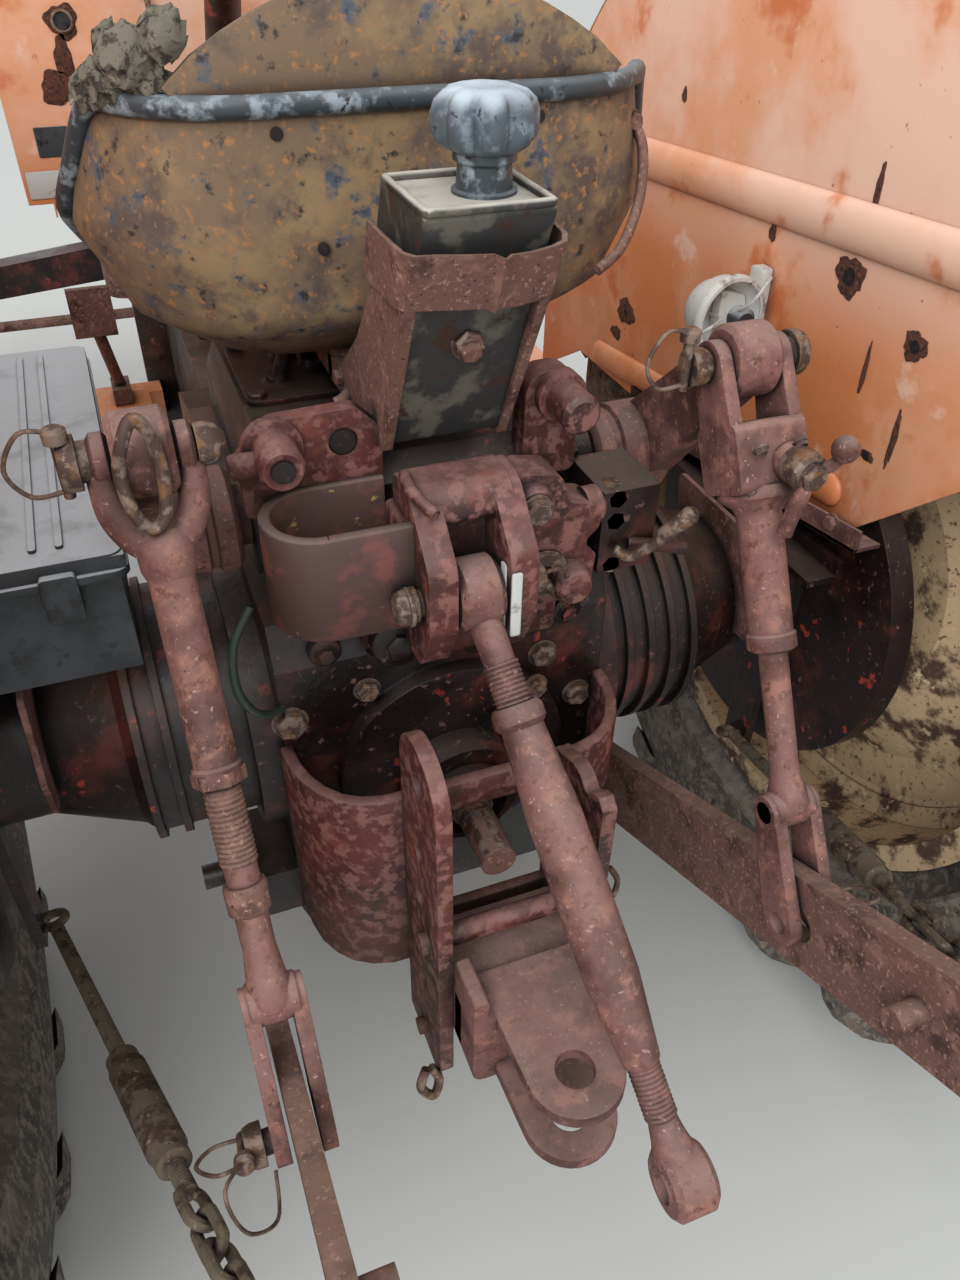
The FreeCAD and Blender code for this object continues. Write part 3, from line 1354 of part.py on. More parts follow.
# Front axle and steering.
node("front_axle", front_axle())
node("knuckle_right", knuckle(1))
node("knuckle_left", knuckle(-1))
node("tie_rod", tie_rod())
node("steering_column", steering_column())
node("steering_wheel", steering_wheel())
node("controls", *controls())

doc.recompute()
for thing in doc.Objects:
    if "Invalid" in thing.State or "Error" in thing.State:
        raise RuntimeError(f"{thing.Name} did not recompute: {thing.State}")
for piece in NODES:
    if piece.Shape.isNull() or not piece.Shape.isValid() or not piece.Shape.Solids:
        raise RuntimeError(f"{piece.Label} has no valid shape")

os.makedirs("parts", exist_ok=True)
for piece in NODES:
    piece.Shape.exportStep(f"parts/{piece.Label}.step")
print(len(NODES), "nodes written")
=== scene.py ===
import math
from math import cos, pi, radians, sin

import bmesh
import bpy
from mathutils import Matrix, Vector


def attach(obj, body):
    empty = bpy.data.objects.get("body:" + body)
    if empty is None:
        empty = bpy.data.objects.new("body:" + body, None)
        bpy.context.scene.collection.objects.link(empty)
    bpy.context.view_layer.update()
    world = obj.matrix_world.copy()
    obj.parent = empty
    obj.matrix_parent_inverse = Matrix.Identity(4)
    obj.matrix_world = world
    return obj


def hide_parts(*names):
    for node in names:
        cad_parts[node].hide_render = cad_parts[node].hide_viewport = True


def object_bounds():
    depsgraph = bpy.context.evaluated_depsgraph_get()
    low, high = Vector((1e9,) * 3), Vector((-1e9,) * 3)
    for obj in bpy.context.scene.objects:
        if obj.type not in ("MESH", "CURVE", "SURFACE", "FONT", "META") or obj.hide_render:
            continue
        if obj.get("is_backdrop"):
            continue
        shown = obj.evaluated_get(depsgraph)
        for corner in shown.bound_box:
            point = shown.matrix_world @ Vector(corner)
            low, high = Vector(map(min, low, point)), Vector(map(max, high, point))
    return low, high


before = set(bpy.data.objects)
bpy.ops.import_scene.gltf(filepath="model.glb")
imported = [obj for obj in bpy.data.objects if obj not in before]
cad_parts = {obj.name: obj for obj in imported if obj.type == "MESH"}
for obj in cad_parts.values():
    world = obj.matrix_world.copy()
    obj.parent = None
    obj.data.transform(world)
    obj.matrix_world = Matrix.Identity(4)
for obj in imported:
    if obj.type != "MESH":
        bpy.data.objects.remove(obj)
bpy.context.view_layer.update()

# Camera, floor and light
# The photograph is taken from standing height behind the left rear wheel, looking forward and down.
# The sky is overcast: soft light from all over, a little stronger from above.

REAR_AXLE = -847.5  # y of the rear axle in the part's frame, in mm
EYE = (-243.9, -841.5, 1391.9)
CAMERA_RIGHT, CAMERA_DOWN, CAMERA_ROLL = radians(21.7397), radians(38.6270), radians(1.0678)
SENSOR = 36.0
FOCAL_IN_PIXELS, PHOTO_HEIGHT = 996.18, 1280


def at(x, y, z):
    """A place in mm: right of the middle, ahead of the rear axle, above the ground."""
    return Vector((x, y + REAR_AXLE, z)) / 1000


bpy.ops.object.select_all(action="DESELECT")
bpy.ops.object.camera_add()
camera = bpy.context.object
camera.matrix_world = (Matrix.Translation(at(*EYE)) @ Matrix.Rotation(-CAMERA_RIGHT, 4, "Z")
    @ Matrix.Rotation(pi / 2 - CAMERA_DOWN, 4, "X") @ Matrix.Rotation(CAMERA_ROLL, 4, "Z"))
camera.data.sensor_width = SENSOR
camera.data.lens = FOCAL_IN_PIXELS * SENSOR / PHOTO_HEIGHT
bpy.context.scene.camera = camera
bpy.context.scene.view_settings.view_transform = "Standard"


def linear(code):
    """An sRGB colour code as linear red, green, blue and alpha."""
    parts = [int(code[i : i + 2], 16) / 255 for i in (1, 3, 5)]
    return [p / 12.92 if p <= 0.04045 else ((p + 0.055) / 1.055) ** 2.4 for p in parts] + [1.0]


def node(tree, kind, inputs, **settings):
    """Adds a shader node; its inputs are given as links or as constants."""
    made = tree.nodes.new("ShaderNode" + kind)
    for name, value in settings.items():
        setattr(made, name, value)
    for socket, value in inputs.items():
        if isinstance(value, bpy.types.NodeSocket):
            tree.links.new(value, made.inputs[socket])
        else:
            made.inputs[socket].default_value = value
    return made


world = bpy.data.worlds.new("overcast_sky")
world.use_nodes = True
bpy.context.scene.world = world
sky = world.node_tree.nodes["Background"]
direction = node(world.node_tree, "TexCoord", {})
height = node(world.node_tree, "SeparateXYZ", {0: direction.outputs["Generated"]})
share = node(world.node_tree, "MapRange", {"Value": height.outputs["Z"], "From Min": -0.2, "From Max": 1.0})
dome = node(world.node_tree, "Mix", {0: share.outputs[0], 6: linear("#c2c6ca"), 7: linear("#ffffff")},
    data_type="RGBA")
world.node_tree.links.new(dome.outputs[2], sky.inputs["Color"])
sky.inputs["Strength"].default_value = 1.15

bpy.ops.object.light_add(type="AREA", location=(-2.5, -4.5, 4.5))
lamp = bpy.context.object
lamp.name = "soft_sky_panel"
lamp.rotation_euler = (at(0, 0, 800) - lamp.location).to_track_quat("-Z", "Y").to_euler()
lamp.data.size, lamp.data.energy = 3.5, 230

bpy.ops.mesh.primitive_plane_add(size=60)
floor = bpy.context.object
floor.name = "floor"
pale = bpy.data.materials.new("pale_floor")
pale.use_nodes = True
pale.node_tree.nodes["Principled BSDF"].inputs["Base Color"].default_value = linear("#c9cbc8")
pale.node_tree.nodes["Principled BSDF"].inputs["Roughness"].default_value = 0.9
floor.data.materials.append(pale)
floor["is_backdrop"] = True

# Housing, gearbox and axle trumpets
# Dark iron castings, red under decades of grease, dust and rust. The housing is the chassis and
# carries the trumpets of both axle halves, the lift cover and everything behind the seat.


EDGE_RADIUS = 0.0016  # in metres: how far the light softens every sharp edge


def weathered(name, base, rough, patches, grain, metal=0.0, dust_and_top_sheen=None, corner_shade=None, worn=None, lighter_above=None):
    """A finish: base colour, then patches laid over it in turn. Each row of patches is colour,
    patch size in mm, noise level where it starts and where it covers, roughness there and, where
    it stands up, height in mm. Grain is rows of size and height in mm. Dust and top sheen is a colour
    and its share on top faces: partly dust, partly painted sheen where the sky lights the tops. Corner
    shade is painted shade: a colour laid into corners and hollows by ambient occlusion, and how far
    in mm it reaches out of them. Worn is the colour that edges are rubbed to. Lighter above is a
    colour, the heights in mm between which it comes in, and its share."""
    finish = bpy.data.materials.new(name)
    finish.use_nodes = True
    tree = finish.node_tree
    shader = tree.nodes["Principled BSDF"]
    place = node(tree, "TexCoord", {}).outputs
    softened = node(tree, "Bevel", {"Radius": EDGE_RADIUS}, samples=3).outputs[0]
    colour, gloss, normal = linear(base), rough, softened

    def over(cover, tint):
        return node(tree, "Mix", {0: cover, 6: colour, 7: linear(tint)}, data_type="RGBA").outputs[2]

    def noise(size, detail):
        inputs = {"Vector": place["Object"], "Scale": 1000 / size, "Detail": detail, "Roughness": 0.62}
        return node(tree, "TexNoise", inputs).outputs[0]

    def step(value, low, high, most=1.0):
        inputs = {"Value": value, "From Min": low, "From Max": high, "To Max": most}
        return node(tree, "MapRange", inputs, interpolation_type="SMOOTHSTEP").outputs[0]

    # Lighter towards the top, by height above the ground.
    if lighter_above:
        tint, low, high, most = lighter_above
        level = node(tree, "SeparateXYZ", {0: place["Object"]}).outputs["Z"]
        colour = over(step(level, low / 1000, high / 1000, most), tint)
    for tint, size, starts, covers, rough_there, *height in patches:
        cover = step(noise(size, 5.0), starts, covers)
        colour = over(cover, tint)
        if rough_there != rough:
            gloss = node(tree, "Mix", {0: cover, 2: gloss, 3: rough_there}).outputs[0]
        if height:
            link = {"Height": cover, "Distance": height[0] / 1000, "Normal": normal}
            normal = node(tree, "Bump", link).outputs[0]
    for size, height in grain:
        link = {"Height": noise(size, 3.0), "Distance": height / 1000, "Normal": normal}
        normal = node(tree, "Bump", link).outputs[0]
    if worn:
        flat = node(tree, "NewGeometry", {}).outputs["Normal"]
        turn = node(tree, "VectorMath", {0: softened, 1: flat}, operation="DOT_PRODUCT").outputs["Value"]
        patchy = node(tree, "Math", {0: turn, 1: noise(14, 4.0)}, operation="ADD").outputs[0]
        colour = over(step(patchy, 1.52, 1.40, 0.8), worn)
    # Lighter on faces that look up: partly dust, partly painted sheen where the sky lights the tops.
    if dust_and_top_sheen:
        tint, most = dust_and_top_sheen
        side = node(tree, "SeparateXYZ", {0: place["Normal"]}).outputs["Z"]
        top_cover = node(tree, "Math", {0: step(side, 0.25, 1.0, most * 2), 1: noise(45, 6.0)},
            operation="MULTIPLY", use_clamp=True).outputs[0]
        colour = over(top_cover, tint)
    # Painted shade: ambient occlusion darkens corners, creases and hollows to this colour.
    if corner_shade:
        tint, reach = corner_shade
        shut = node(tree, "AmbientOcclusion", {"Distance": reach / 1000}, samples=4).outputs["AO"]
        colour = over(step(shut, 0.85, 0.35), tint)
    for socket, value in (("Base Color", colour), ("Roughness", gloss), ("Normal", normal)):
        if isinstance(value, bpy.types.NodeSocket):
            tree.links.new(value, shader.inputs[socket])
        else:
            shader.inputs[socket].default_value = value
    shader.inputs["Metallic"].default_value = metal
    return finish


def coat(finish, *names):
    """The finish for CAD nodes that are carried over as they are."""
    for name in names:
        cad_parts[name].data.materials[0] = finish


# Sand-cast iron: lumpy, dark with oil, red paint left in patches.
greasy_iron = weathered("greasy_cast_iron", "#221515", 0.5,
    [("#5a2922", 85, 0.5, 0.66, 0.5, 0.1), ("#9a3a2c", 34, 0.63, 0.68, 0.5, 0.1),
    ("#150d0d", 130, 0.44, 0.6, 0.3, 0.2), ("#6a4a44", 9, 0.6, 0.7, 0.8)], [(9, 0.5), (1.8, 0.15)],
    dust_and_top_sheen=("#75675f", 0.3), corner_shade=("#0d0808", 40))
# The same iron where more of the red paint is left under the rust.
red_iron = weathered("red_painted_cast_iron", "#572821", 0.65,
    [("#321714", 120, 0.4, 0.64, 0.55), ("#79372c", 34, 0.52, 0.72, 0.6, 0.05),
    ("#693f37", 11, 0.5, 0.72, 0.8), ("#906259", 4, 0.6, 0.72, 0.85, 0.08),
    ("#1f0e0c", 4, 0.62, 0.72, 0.8, -0.1), ("#180d0c", 60, 0.6, 0.72, 0.45)], [(7, 0.35), (1.6, 0.2)],
    dust_and_top_sheen=("#8a6c65", 0.45), corner_shade=("#110908", 30), worn="#845a51")
# Hot-rolled steel rusted through years outdoors: pitted, matt, brown with a pinkish bloom.
rusty_steel = weathered("rusted_forged_steel", "#6b4b40", 0.85,
    [("#40251e", 55, 0.5, 0.66, 0.85), ("#835f53", 22, 0.52, 0.66, 0.85),
    ("#9f7a6b", 4.5, 0.56, 0.66, 0.85, 0.12), ("#2c1b15", 3.5, 0.6, 0.7, 0.9, -0.2)],
    [(5, 0.2), (1.5, 0.2)], dust_and_top_sheen=("#9a8878", 0.25), corner_shade=("#241410", 15))
# Bare steel of bolts and pins, brown and a little shiny where a spanner turned it.
bolt_steel = weathered("rusted_bolt_steel", "#4e3b34", 0.6,
    [("#7b5a3e", 12, 0.5, 0.62, 0.8), ("#8f8078", 6, 0.6, 0.7, 0.45)], [(2, 0.15)], metal=0.3,
    corner_shade=("#150e0c", 8), worn="#8d7a6c")

# Forged steel with old red paint rusted through: pinkish where it rubs, dark where it is wet.
red_brown_steel = weathered("rusted_red_painted_steel", "#76504a", 0.8,
    [("#4c2c26", 70, 0.44, 0.64, 0.8), ("#8f6154", 24, 0.5, 0.66, 0.85), ("#5f3a2a", 9, 0.54, 0.68, 0.8),
    ("#a5837a", 5, 0.6, 0.7, 0.9, 0.1), ("#3a211b", 4, 0.62, 0.72, 0.9, -0.2)], [(5, 0.2), (1.5, 0.2)],
    dust_and_top_sheen=("#ab978c", 0.3), corner_shade=("#2a1714", 15))
# Painted shade: a near-black finish for discs laid where holes and hollows go in.
painted_hole_shade = weathered("painted_shade_in_holes", "#150e0c", 0.7, [("#3a2018", 5, 0.55, 0.65, 0.8)],
    [(2, 0.1)])

coat(greasy_iron, "rear_housing", "lift_cover", "gearbox", "axle_trumpets", "remote_valve", "bolster",
    "fender_braces", "radiator", "steering_column", "pto_guard", "front_axle", "link_brackets")
coat(red_iron, "top_bracket", "drawbar_band", "hitch_frame", "hitch_jaw")
coat(rusty_steel, "lift_arms", "lift_rod_left", "lift_rod_right", "lower_link_left", "lower_link_right",
    "top_link", "pto_shaft", "controls", "knuckle_left", "knuckle_right", "tie_rod", "exhaust",
    "engine_fittings", "engine")

# Bolts of the housing, bracket and hitch
# Hexagon heads on washers, M12 to M20. The tabs that hold the drawbar band are bolted to the
# housing's rear face; smaller heads hold the shaft's cap, the trumpets and the fender stays.


def skin(mesh, rings, capped=False):
    """Faces from ring to ring of points; a ring of one point closes an end."""
    around = max(len(ring) for ring in rings)
    for near, far in zip(rings, rings[1:]):
        for n in range(around):
            after = (n + 1) % around
            corners = (near[n % len(near)], near[after % len(near)], far[after % len(far)],
                far[n % len(far)])
            corners = list(dict.fromkeys(corners))
            if len(corners) > 2:
                mesh.faces.new(corners)
    if capped:
        mesh.faces.new(rings[0])
        mesh.faces.new(rings[-1])


def lathe(mesh, start, axis, rows, around=24):
    """Turns rows of (mm along the axis, radius in mm) round a line. Six sides give a hexagon. Rows
    that start and end away from the axis are closed flat, unless the last is the first again."""
    if rows[0][1] and rows[-1][1] and rows[0] != rows[-1]:
        rows = [(rows[0][0], 0), *rows, (rows[-1][0], 0)]
    axis = axis.normalized()
    side = axis.orthogonal().normalized()
    other = axis.cross(side)
    rings = []
    for along, radius in rows:
        middle = start + axis * along / 1000
        spokes = [2 * pi * n / around for n in range(around)] if radius else [0.0]
        rings.append([mesh.verts.new(middle + (side * cos(t) + other * sin(t)) * radius / 1000)
            for t in spokes])
    skin(mesh, rings)


def made(name, mesh, finish, slot, replaced=(), body="chassis", crease=38):
    """The mesh as an object that rides on a body, smooth but for edges sharper than the crease."""
    bmesh.ops.recalc_face_normals(mesh, faces=mesh.faces)
    for face in mesh.faces:
        face.smooth = True
    for edge in mesh.edges:
        edge.smooth = len(edge.link_faces) == 2 and edge.calc_face_angle() < radians(crease)
    data = bpy.data.meshes.new(name)
    mesh.to_mesh(data)
    mesh.free()
    data.materials.append(finish)
    thing = bpy.data.objects.new(name, data)
    bpy.context.collection.objects.link(thing)
    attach(thing, body)
    if replaced:
        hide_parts(*replaced)


def bolt(mesh, place, axis, size):
    """A washer and a hexagon head; size is the thread in mm."""
    lathe(mesh, place, axis, [(-1, size * 1.1), (size * 0.15, size * 1.1)])
    head = [(0, size * 0.95), (size * 0.62, size * 0.95), (size * 0.78, size * 0.8), (size * 0.78, 0)]
    lathe(mesh, place, axis, head, around=6)


BACK, LEFT, RIGHT, UP, DOWN = (Vector(v) for v in ((0, -1, 0), (-1, 0, 0), (1, 0, 0), (0, 0, 1),
    (0, 0, -1)))
mesh = bmesh.new()
for place, axis, size in [
    # place in mm, where the head looks, thread
    ((-157, -150, 752), BACK, 16), ((-82, -150, 770), BACK, 12), ((98, -150, 764), BACK, 14),
    ((84, -168, 739), BACK, 12), ((140, -150, 700), BACK, 14), ((-140, -150, 560), BACK, 14),
    ((140, -150, 560), BACK, 14), ((-150, -150, 650), BACK, 14), ((1.6, -190, 1111), BACK, 12),
]:
    bolt(mesh, at(*place), axis, size)
made("housing_bolts", mesh, bolt_steel, "rusty_steel")

# Lift arms
# Forged arms clamped on the rocker shaft, round bosses at its ends, a ball joint's eye at each tip.


def rounded(outline, steps=6):
    """The outline with every corner that has a third number rounded to that radius."""
    spots = []
    for n, corner in enumerate(outline):
        here = Vector(corner[:2])
        if len(corner) < 3:
            spots.append(here)
            continue
        back = (Vector(outline[n - 1][:2]) - here).normalized()
        ahead = (Vector(outline[(n + 1) % len(outline)][:2]) - here).normalized()
        half = back.angle(ahead) / 2
        centre = here + (back + ahead).normalized() * corner[2] / sin(half)
        first = here + back * corner[2] / math.tan(half) - centre
        last = here + ahead * corner[2] / math.tan(half) - centre
        for k in range(steps + 1):
            arm = first.lerp(last, k / steps)
            spots.append(centre + arm.normalized() * corner[2])
    return [(spot.x, spot.y) for spot in spots]


def join(mesh, part):
    """Moves the part's faces into the mesh."""
    data = bpy.data.meshes.new("part")
    part.to_mesh(data)
    part.free()
    mesh.from_mesh(data)
    bpy.data.meshes.remove(data)


def oblong(a, b, c, d, radius):
    """An oblong outline from corner (a, b) to corner (c, d), its corners rounded."""
    return [(a, b, radius), (c, b, radius), (c, d, radius), (a, d, radius)]


def slab(mesh, plane, outline, low, high, holes=(), bevel=1.8):
    """A plate between two levels in mm, its outline in the plane, round holes and broken edges."""
    low, high = sorted((low, high))
    part = bmesh.new()
    loops = [rounded(outline)]
    for a, b, radius in holes:
        loops.append([(a + radius * cos(pi * k / 12), b + radius * sin(pi * k / 12)) for k in range(24)])
    edges = []
    for loop in loops:
        verts = [part.verts.new((a, b, low)) for a, b in loop]
        edges += [part.edges.new(pair) for pair in zip(verts, verts[1:] + verts[:1])]
    bmesh.ops.triangle_fill(part, edges=edges, use_beauty=True)
    grown = bmesh.ops.extrude_face_region(part, geom=part.faces[:])["geom"]
    top = [item for item in grown if isinstance(item, bmesh.types.BMVert)]
    bmesh.ops.translate(part, verts=top, vec=(0, 0, high - low))
    bmesh.ops.recalc_face_normals(part, faces=part.faces)
    sharp = [e for e in part.edges if len(e.link_faces) == 2 and e.calc_face_angle() > radians(55)]
    bmesh.ops.bevel(part, geom=sharp, offset=bevel, segments=2, profile=0.6, affect="EDGES",
        clamp_overlap=True)
    for vert in part.verts:
        a, b, c = vert.co
        vert.co = at(*{"YZ": (c, a, b), "XZ": (a, c, b), "XY": (a, b, c)}[plane])
    join(mesh, part)


def eye_bar(mesh, low, high, start, end, start_radius, end_radius, holes=(), bevel=2.5):
    """A flat bar in a plane of constant x between two round ends; places are (y, z) in mm."""
    a, b = Vector(start), Vector(end)
    turn = math.atan2(b.y - a.y, b.x - a.x)
    outline = []
    for centre, radius, first in ((a, start_radius, turn + pi / 2), (b, end_radius, turn - pi / 2)):
        for k in range(13):
            t = first + pi * k / 12
            outline.append((centre.x + radius * cos(t), centre.y + radius * sin(t)))
    slab(mesh, "YZ", outline, low, high, holes, bevel)


SHAFT, TIP = (-60, 925), (-202, 1070)  # y and z in mm of the rocker shaft and the arms' tips

mesh = bmesh.new()
for side in (-1, 1):
    out = RIGHT * side
    eye_bar(mesh, side * 222, side * 248, SHAFT, TIP, 38, 25, bevel=5)
    lathe(mesh, at(side * 168, *SHAFT), out, [(0, 40), (5, 46), (20, 46), (22, 42), (28, 42), (30, 46),
        (74, 46), (80, 41)], 40)
    lathe(mesh, at(side * 215, *TIP), out, [(0, 12), (0, 26), (4, 30), (36, 30), (40, 26), (40, 12),
        (36, 14), (20, 17), (4, 14), (0, 12)], 40)
    lathe(mesh, at(side * 248, *SHAFT), out, [(0, 20), (9, 20), (12, 16)], 6)
lathe(mesh, at(-175, *SHAFT), RIGHT, [(0, 27), (350, 27)], 32)
made("lift_arms_forged", mesh, red_brown_steel, "rusty_steel", ["lift_arms"], body="lift_arms_body")

# Lift rods
# Each hangs in a forged clevis on the arm's ball eye. Left: a plain tube on a cut thread. Right:
# the levelling box with its crank. Long forked feet hold the lower links.

TIP_X, FOOT_X = 235, 230
FEET = {-1: (-454, 612), 1: (-440, 644)}  # y and z in mm of the left and right rod's lower pin


def foot_fork(mesh, x, foot, crown):
    """The lower fork: two flat legs joined by a rounded crown."""
    for side in (-1, 1):
        eye_bar(mesh, x + side * 12, x + side * 24, crown, foot, 15, 21, [(*foot, 10)], bevel=3.5)
    lathe(mesh, at(x - 24, *crown), RIGHT, [(0, 10), (6, 17), (42, 17), (48, 10)])


def rod_place(side, share):
    """A place in mm on a rod's line, from the arm's tip at 0 to the lower pin at 1."""
    head, foot = (side * TIP_X, *TIP), (side * FOOT_X, *FEET[side])
    return [a + (b - a) * share for a, b in zip(head, foot)]


def scaled(length, rows):
    """Rows for a lathe whose first numbers are shares of a length."""
    return [(length * share, radius) for share, radius in rows]


def tube(mesh, path, radius, around=12, closed=False, smooth=6):
    """A round bar along the points of a path, its bends rounded; radius may vary, in mm."""
    if smooth:
        count = len(path)
        spots = []
        for n in range(count if closed else count - 1):
            a, b, c, d = (path[(n + k) % count] if closed else path[min(max(n + k, 0), count - 1)]
                for k in (-1, 0, 1, 2))
            for k in range(smooth):
                t = k / smooth
                spots.append(b + (c - a) * (t / 2) + (a * 2 - b * 5 + c * 4 - d) * (t * t / 2)
                    + (b * 3 - a - c * 3 + d) * (t * t * t / 2))
        path = spots if closed else spots + [path[-1]]
    count = len(path)
    side = None
    rings = []
    for n, spot in enumerate(path):
        ahead = path[(n + 1) % count] if closed else path[min(n + 1, count - 1)]
        behind = path[n - 1] if closed else path[max(n - 1, 0)]
        run = (ahead - behind).normalized()
        side = run.orthogonal() if side is None else side - run * side.dot(run)
        side.normalize()
        other = run.cross(side)
        size = (radius(n / (count - 1)) if callable(radius) else radius) / 1000
        spokes = [2 * pi * k / around for k in range(around)]
        rings.append([mesh.verts.new(spot + (side * cos(t) + other * sin(t)) * size) for t in spokes])
    skin(mesh, rings + rings[:1] if closed else rings, capped=not closed)


for side, label, radius, tube_share in ((-1, "left", 16, 0.45), (1, "right", 19, 0.49)):
    head, foot = at(*rod_place(side, 0)), at(*rod_place(side, 1))
    run = foot - head
    length = run.length * 1000
    x = side * TIP_X
    mesh = bmesh.new()
    if side < 0:
        legs = [(-27, 0.0), (-28, 0.035), (-26, 0.075), (-15, 0.11), (0, 0.122), (15, 0.11), (26, 0.075),
            (28, 0.035), (27, 0.0)]
        tube(mesh, [at(x + across, *rod_place(side, share)[1:]) for across, share in legs], 11, around=16)
        for across in (-34, 20):
            lathe(mesh, at(x + across, *TIP), RIGHT, [(0, 14), (3, 18), (11, 18), (14, 14)], 28)
        lathe(mesh, head + run * 0.1, run, [(0, 14), (10, 20), (26, 19), (34, 16)])
    else:
        for cheek in (-1, 1):
            eye_bar(mesh, x + cheek * 21.5, x + cheek * 33.5, rod_place(side, 0.13)[1:], TIP, 24, 19,
                [(*TIP, 10)], bevel=3)
        a, b = (Vector(rod_place(side, share)[1:]) for share in (0.1, 0.215))
        aside = (b - a).orthogonal().normalized() * 28
        slab(mesh, "YZ", [(*(a - aside), 8), (*(a + aside), 8), (*(b + aside), 6), (*(b - aside), 6)],
            x - 33, x + 33, bevel=4)
        lathe(mesh, head + run * 0.205, run, [(0, 30), (3, 32), (10, 32), (13, 29), (18, 22), (24, 19)], 32)
        crank = at(x + 14, *rod_place(side, 0.15)[1:]) + Vector((0, -0.026, 0.003))
        lathe(mesh, crank, BACK, [(0, 16), (6, 17), (18, 14), (22, 11), (34, 11), (36, 8)])
        tip = crank + BACK * 0.030
        for thick, bends in ((6.5, [(0, 0, 0), (-6, -4, -12), (-14, -6, -34), (-16, -6, -46)]),
                (5, [(4, -2, 4), (12, -8, 12), (16, -12, 20)])):
            tube(mesh, [tip + Vector(bend) / 1000 for bend in bends], thick)
        ball = [(11 - 11 * cos(pi * k / 12), 11 * sin(pi * k / 12)) for k in range(1, 12)]
        lathe(mesh, tip + Vector((0.017, -0.013, 0.016)), UP, [(0, 0), *ball, (22, 0)])
    end = length * tube_share
    lathe(mesh, head, run, [(length * 0.12, radius), (end - 14, radius), (end - 12, radius + 2),
        (end, radius + 2), (end + 2, radius - 1)], 32)
    lathe(mesh, head, run, scaled(length, [(tube_share, 12.5), (0.7, 12.5), (0.745, 15), (0.775, 20),
        (0.79, 18)]), 28)
    foot_fork(mesh, side * FOOT_X, rod_place(side, 1)[1:], rod_place(side, 0.785)[1:])
    made(f"lift_rod_forged_{label}", mesh, red_brown_steel, "rusty_steel", [f"lift_rod_{label}"],
        body=f"lift_rod_{label}_body")

# Thread, lock nut and pins of the lift rods
# Cut thread below the left tube. Turned pins, held by linch pins with a sprung ring; a second ring
# hangs in the left clevis, and the right pins carry the levelling crank's hub and its cover screws.


def thread(mesh, start, end, radius, pitch=3.5):
    """A screw thread's ridges as a zigzag outline, in mm."""
    run = end - start
    count = int(run.length * 1000 / pitch)
    rows = [(0, 0), (0, radius - 1.2)]
    for n in range(count):
        rows += [(pitch * (n + 0.45), radius), (pitch * (n + 1), radius - 1.3)]
    rows += [(run.length * 1000, 0)]
    lathe(mesh, start, run, rows, around=20)


def linch_pin(mesh, place, axis, ring_side):
    """A linch pin: shank, head and the sprung ring that snaps over its end."""
    axis = axis.normalized()
    lathe(mesh, place - axis * 0.026, axis, [(0, 0), (1.5, 4), (42, 4.4), (42, 8), (50, 8.4), (52, 6),
        (52, 0)], around=14)
    low, high = place - axis * 0.02, place + axis * 0.022
    out = ring_side * 0.026
    tube(mesh, [high, high + out * 0.8 + axis * 0.003, (low + high) / 2 + out * 1.35, low + out * 0.9,
        low + out * 0.1], 1.7, around=8)


head = at(*rod_place(-1, 0))
run = at(*rod_place(-1, 1)) - head
mesh = bmesh.new()
thread(mesh, head + run * 0.456, head + run * 0.575, 14.4, 4)
lathe(mesh, head + run * 0.455, run, [(-12, 20), (-2, 20)], around=6)
lathe(mesh, head + run * 0.6, run, [(0, 15.5), (3, 16.5), (22, 16), (24, 13)])
made("left_rod_thread", mesh, rusty_steel, "rusty_steel", body="lift_rod_left_body", crease=50)

for side, label in ((-1, "left"), (1, "right")):
    out, foot = RIGHT * side, FEET[side]
    mesh = bmesh.new()
    lathe(mesh, at(side * 288, *TIP), -out, [(0, 17), (4, 19), (12, 19), (12, 14), (22, 14)])
    lathe(mesh, at(side * 252, *foot), -out, [(-22, 15), (-16, 17), (-8, 17), (-8, 10), (0, 10)])
    linch_pin(mesh, at(side * 276, *foot), UP * 0.8 + BACK, out)
    if side < 0:
        lathe(mesh, at(-192, *TIP), RIGHT, [(-8, 15), (0, 15), (6, 13), (12, 6)])
        linch_pin(mesh, at(-286, -205, 1072), UP, LEFT)
        tube(mesh, [at(-268, -462, 622), at(-292, -492, 640), at(-284, -512, 610), at(-262, -500, 584),
            at(-256, -468, 592)], 1.6, around=8)
        tube(mesh, [at(-252, -238, 1076), at(-247, -244, 1098), at(-238, -240, 1112), at(-229, -236, 1098),
            at(-226, -238, 1068), at(-230, -242, 1042), at(-240, -244, 1036), at(-249, -243, 1050)], 4.5,
            around=10, closed=True)
    else:
        lathe(mesh, at(192, *TIP), LEFT, [(-10, 12), (-4, 15), (8, 15)])
        linch_pin(mesh, at(180, -205, 1078), UP, LEFT)
        crank = at(*rod_place(1, 0.15)) + Vector((0.014, -0.052, 0.006))
        lathe(mesh, crank - BACK * 0.012, BACK, [(-4, 15), (2, 16), (16, 16), (20, 12)])
        bolt(mesh, crank + BACK * 0.006, BACK, 12)
        for turn in (radians(45 + 90 * n) for n in range(4)):
            screw = at(*rod_place(1, 0.145)) + Vector((0.026 * cos(turn), -0.034, 0.026 * sin(turn)))
            bolt(mesh, screw, BACK * 0.9 + DOWN * 0.45, 6)
    made(f"{label}_rod_pins", mesh, bolt_steel, "rusty_steel", body=f"lift_rod_{label}_body")

# Check chains
# Oval links of round bar, rusted together, a turnbuckle sleeve and the eye on the axle's bracket.

